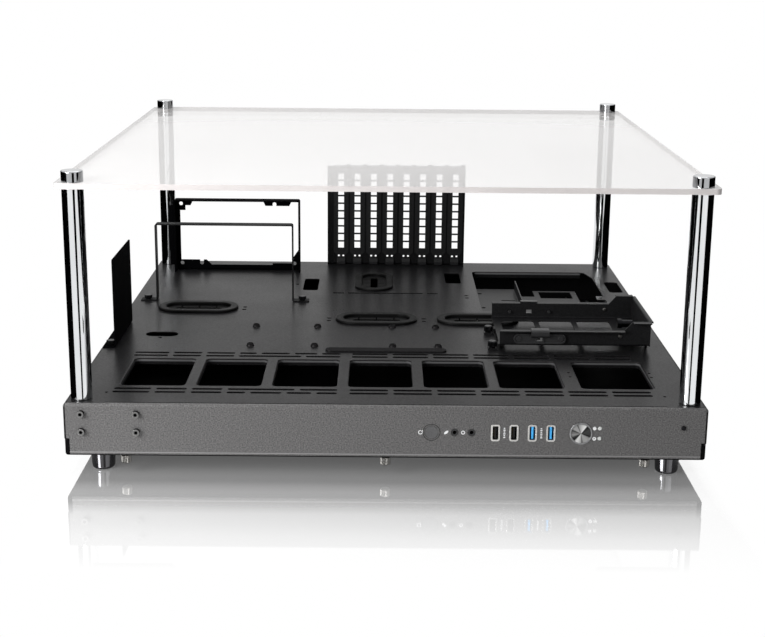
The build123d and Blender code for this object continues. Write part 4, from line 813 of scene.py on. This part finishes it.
def glossWhite(name, look):
    material, tree, shader = newMaterial(name)
    half = (cadBox[1] - cadBox[0]) / 2
    coords = addNode(tree, "ShaderNodeTexCoord").outputs["Object"]
    split = addNode(tree, "ShaderNodeSeparateXYZ", {"Vector": coords})
    across = addNode(tree, "ShaderNodeMath", {0: split.outputs["X"]}, operation="ABSOLUTE")
    along = addNode(tree, "ShaderNodeMath", {0: split.outputs["Y"]}, operation="ABSOLUTE")
    # how far a point lies out past the bench's sides, and past its front or rear
    pastX = addNode(tree, "ShaderNodeMath", {0: across.outputs["Value"], 1: half.x}, operation="SUBTRACT")
    pastY = addNode(tree, "ShaderNodeMath", {0: along.outputs["Value"], 1: half.y}, operation="SUBTRACT")
    past = addNode(tree, "ShaderNodeMath", {
        0: pastX.outputs["Value"], 1: pastY.outputs["Value"]}, operation="MAXIMUM")
    # the mirror runs by the distance in front and ends a little past the sides
    inFront = addNode(tree, "ShaderNodeMath", {0: -cadBox[1].y, 1: split.outputs["Y"]}, operation="SUBTRACT")
    mirror = levels(tree, inFront.outputs["Value"], look["mirror"])
    beside = addNode(tree, "ShaderNodeMapRange", {
        "Value": pastX.outputs["Value"], "From Min": 0.0, "From Max": look["side"],
        "To Min": 1.0, "To Max": 0.0})
    polish = addNode(tree, "ShaderNodeMath", {
        0: mirror, 1: beside.outputs["Result"]}, operation="MULTIPLY")
    # the shadow fades out in front, and stops at the sides and behind
    far = addNode(tree, "ShaderNodeMapRange", {
        "Value": past.outputs["Value"], "From Min": look["shadeReach"][0], "From Max": look["shadeReach"][1],
        "To Min": look["shadeLift"]}, interpolation_type="SMOOTHSTEP")
    behind = addNode(tree, "ShaderNodeMath", {0: split.outputs["Y"], 1: half.y}, operation="SUBTRACT")
    clearOf = addNode(tree, "ShaderNodeMath", {
        0: pastX.outputs["Value"], 1: behind.outputs["Value"]}, operation="MAXIMUM")
    aside = addNode(tree, "ShaderNodeMapRange", {
        "Value": clearOf.outputs["Value"],
        "From Min": look["sideShade"][0], "From Max": look["sideShade"][1]},
        interpolation_type="SMOOTHSTEP")
    clear = addNode(tree, "ShaderNodeMath", {
        0: far.outputs["Result"], 1: aside.outputs["Result"]}, operation="MAXIMUM")
    white = addNode(tree, "ShaderNodeMath", {
        0: clear.outputs["Value"], 1: seenByEye(tree)}, operation="MULTIPLY")
    matt = addNode(tree, "ShaderNodeBsdfDiffuse", {"Color": hexColour(look["colour"])})
    glossy = addNode(tree, "ShaderNodeBsdfAnisotropic", {"Color": (1, 1, 1, 1), "Roughness": look["gloss"]})
    glow = addNode(tree, "ShaderNodeEmission", {"Color": (1, 1, 1, 1), "Strength": 1.0})
    paint = addNode(tree, "ShaderNodeMixShader", {
        0: white.outputs["Value"], 1: matt.outputs["BSDF"], 2: glow.outputs["Emission"]})
    whole = addNode(tree, "ShaderNodeMixShader", {
        0: polish.outputs["Value"], 1: paint.outputs["Shader"], 2: glossy.outputs["BSDF"]})
    tree.nodes.remove(shader)
    tree.links.new(whole.outputs["Shader"], tree.nodes["Material Output"].inputs["Surface"])
    return material


def makeFloor(look):
    work = bmesh.new()
    bmesh.ops.create_grid(work, x_segments=1, y_segments=1, size=look["reach"])
    floor = meshObject("studioFloor", work, glossWhite("glossWhiteFloor", look))


def makeWorld(look):
    world = bpy.data.worlds.new("whiteRoom")
    scene.world = world
    world.use_nodes = True
    tree = world.node_tree
    level = addNode(tree, "ShaderNodeMapRange", {
        "Value": seenByEye(tree), "To Min": look["fill"], "To Max": 1.0})
    back = tree.nodes["Background"]
    back.inputs["Color"].default_value = (1, 1, 1, 1)
    tree.links.new(level.outputs["Result"], back.inputs["Strength"])


def makeLamp(name, look):
    data = bpy.data.lights.new(name, "AREA")
    data.shape = "RECTANGLE"
    data.size, data.size_y = look["size"]
    data.energy = look["power"]
    lamp = bpy.data.objects.new(name, data)
    place = Vector(look["place"])
    turn = (Vector(look["aim"]) - place).to_track_quat("-Z", "Y")
    lamp.matrix_world = Matrix.Translation(place) @ turn.to_matrix().to_4x4()
    scene.collection.objects.link(lamp)


def blackCloth(name, look):
    material, tree, shader = newMaterial(name)
    shader.inputs["Base Color"].default_value = hexColour(look["colour"])
    shader.inputs["Roughness"].default_value = look["rough"]
    shader.inputs["Specular IOR Level"].default_value = look["specular"]
    return material


def hangCloth(name, corners, material):
    # the cloth and its twin on the other side of the bench
    work = bmesh.new()
    sheet = work.faces.new([work.verts.new(corner) for corner in corners])
    bmesh.ops.mirror(work, geom=[sheet, *sheet.verts, *sheet.edges], axis="X", merge_dist=-1)
    cloth = meshObject(name, work, material)
    cloth.visible_camera = False
    cloth.visible_diffuse = False
    cloth.visible_transmission = False
    cloth.visible_shadow = False


makeFloor(floorSet)
makeWorld(worldSet)
for name, look in lampSet.items():
    makeLamp(name, look)
duvetyn = blackCloth("blackDuvetyn", duvetynSet)
for name, corners in clothSet.items():
    hangCloth(name, corners, duvetyn)
print("floor and lights set")
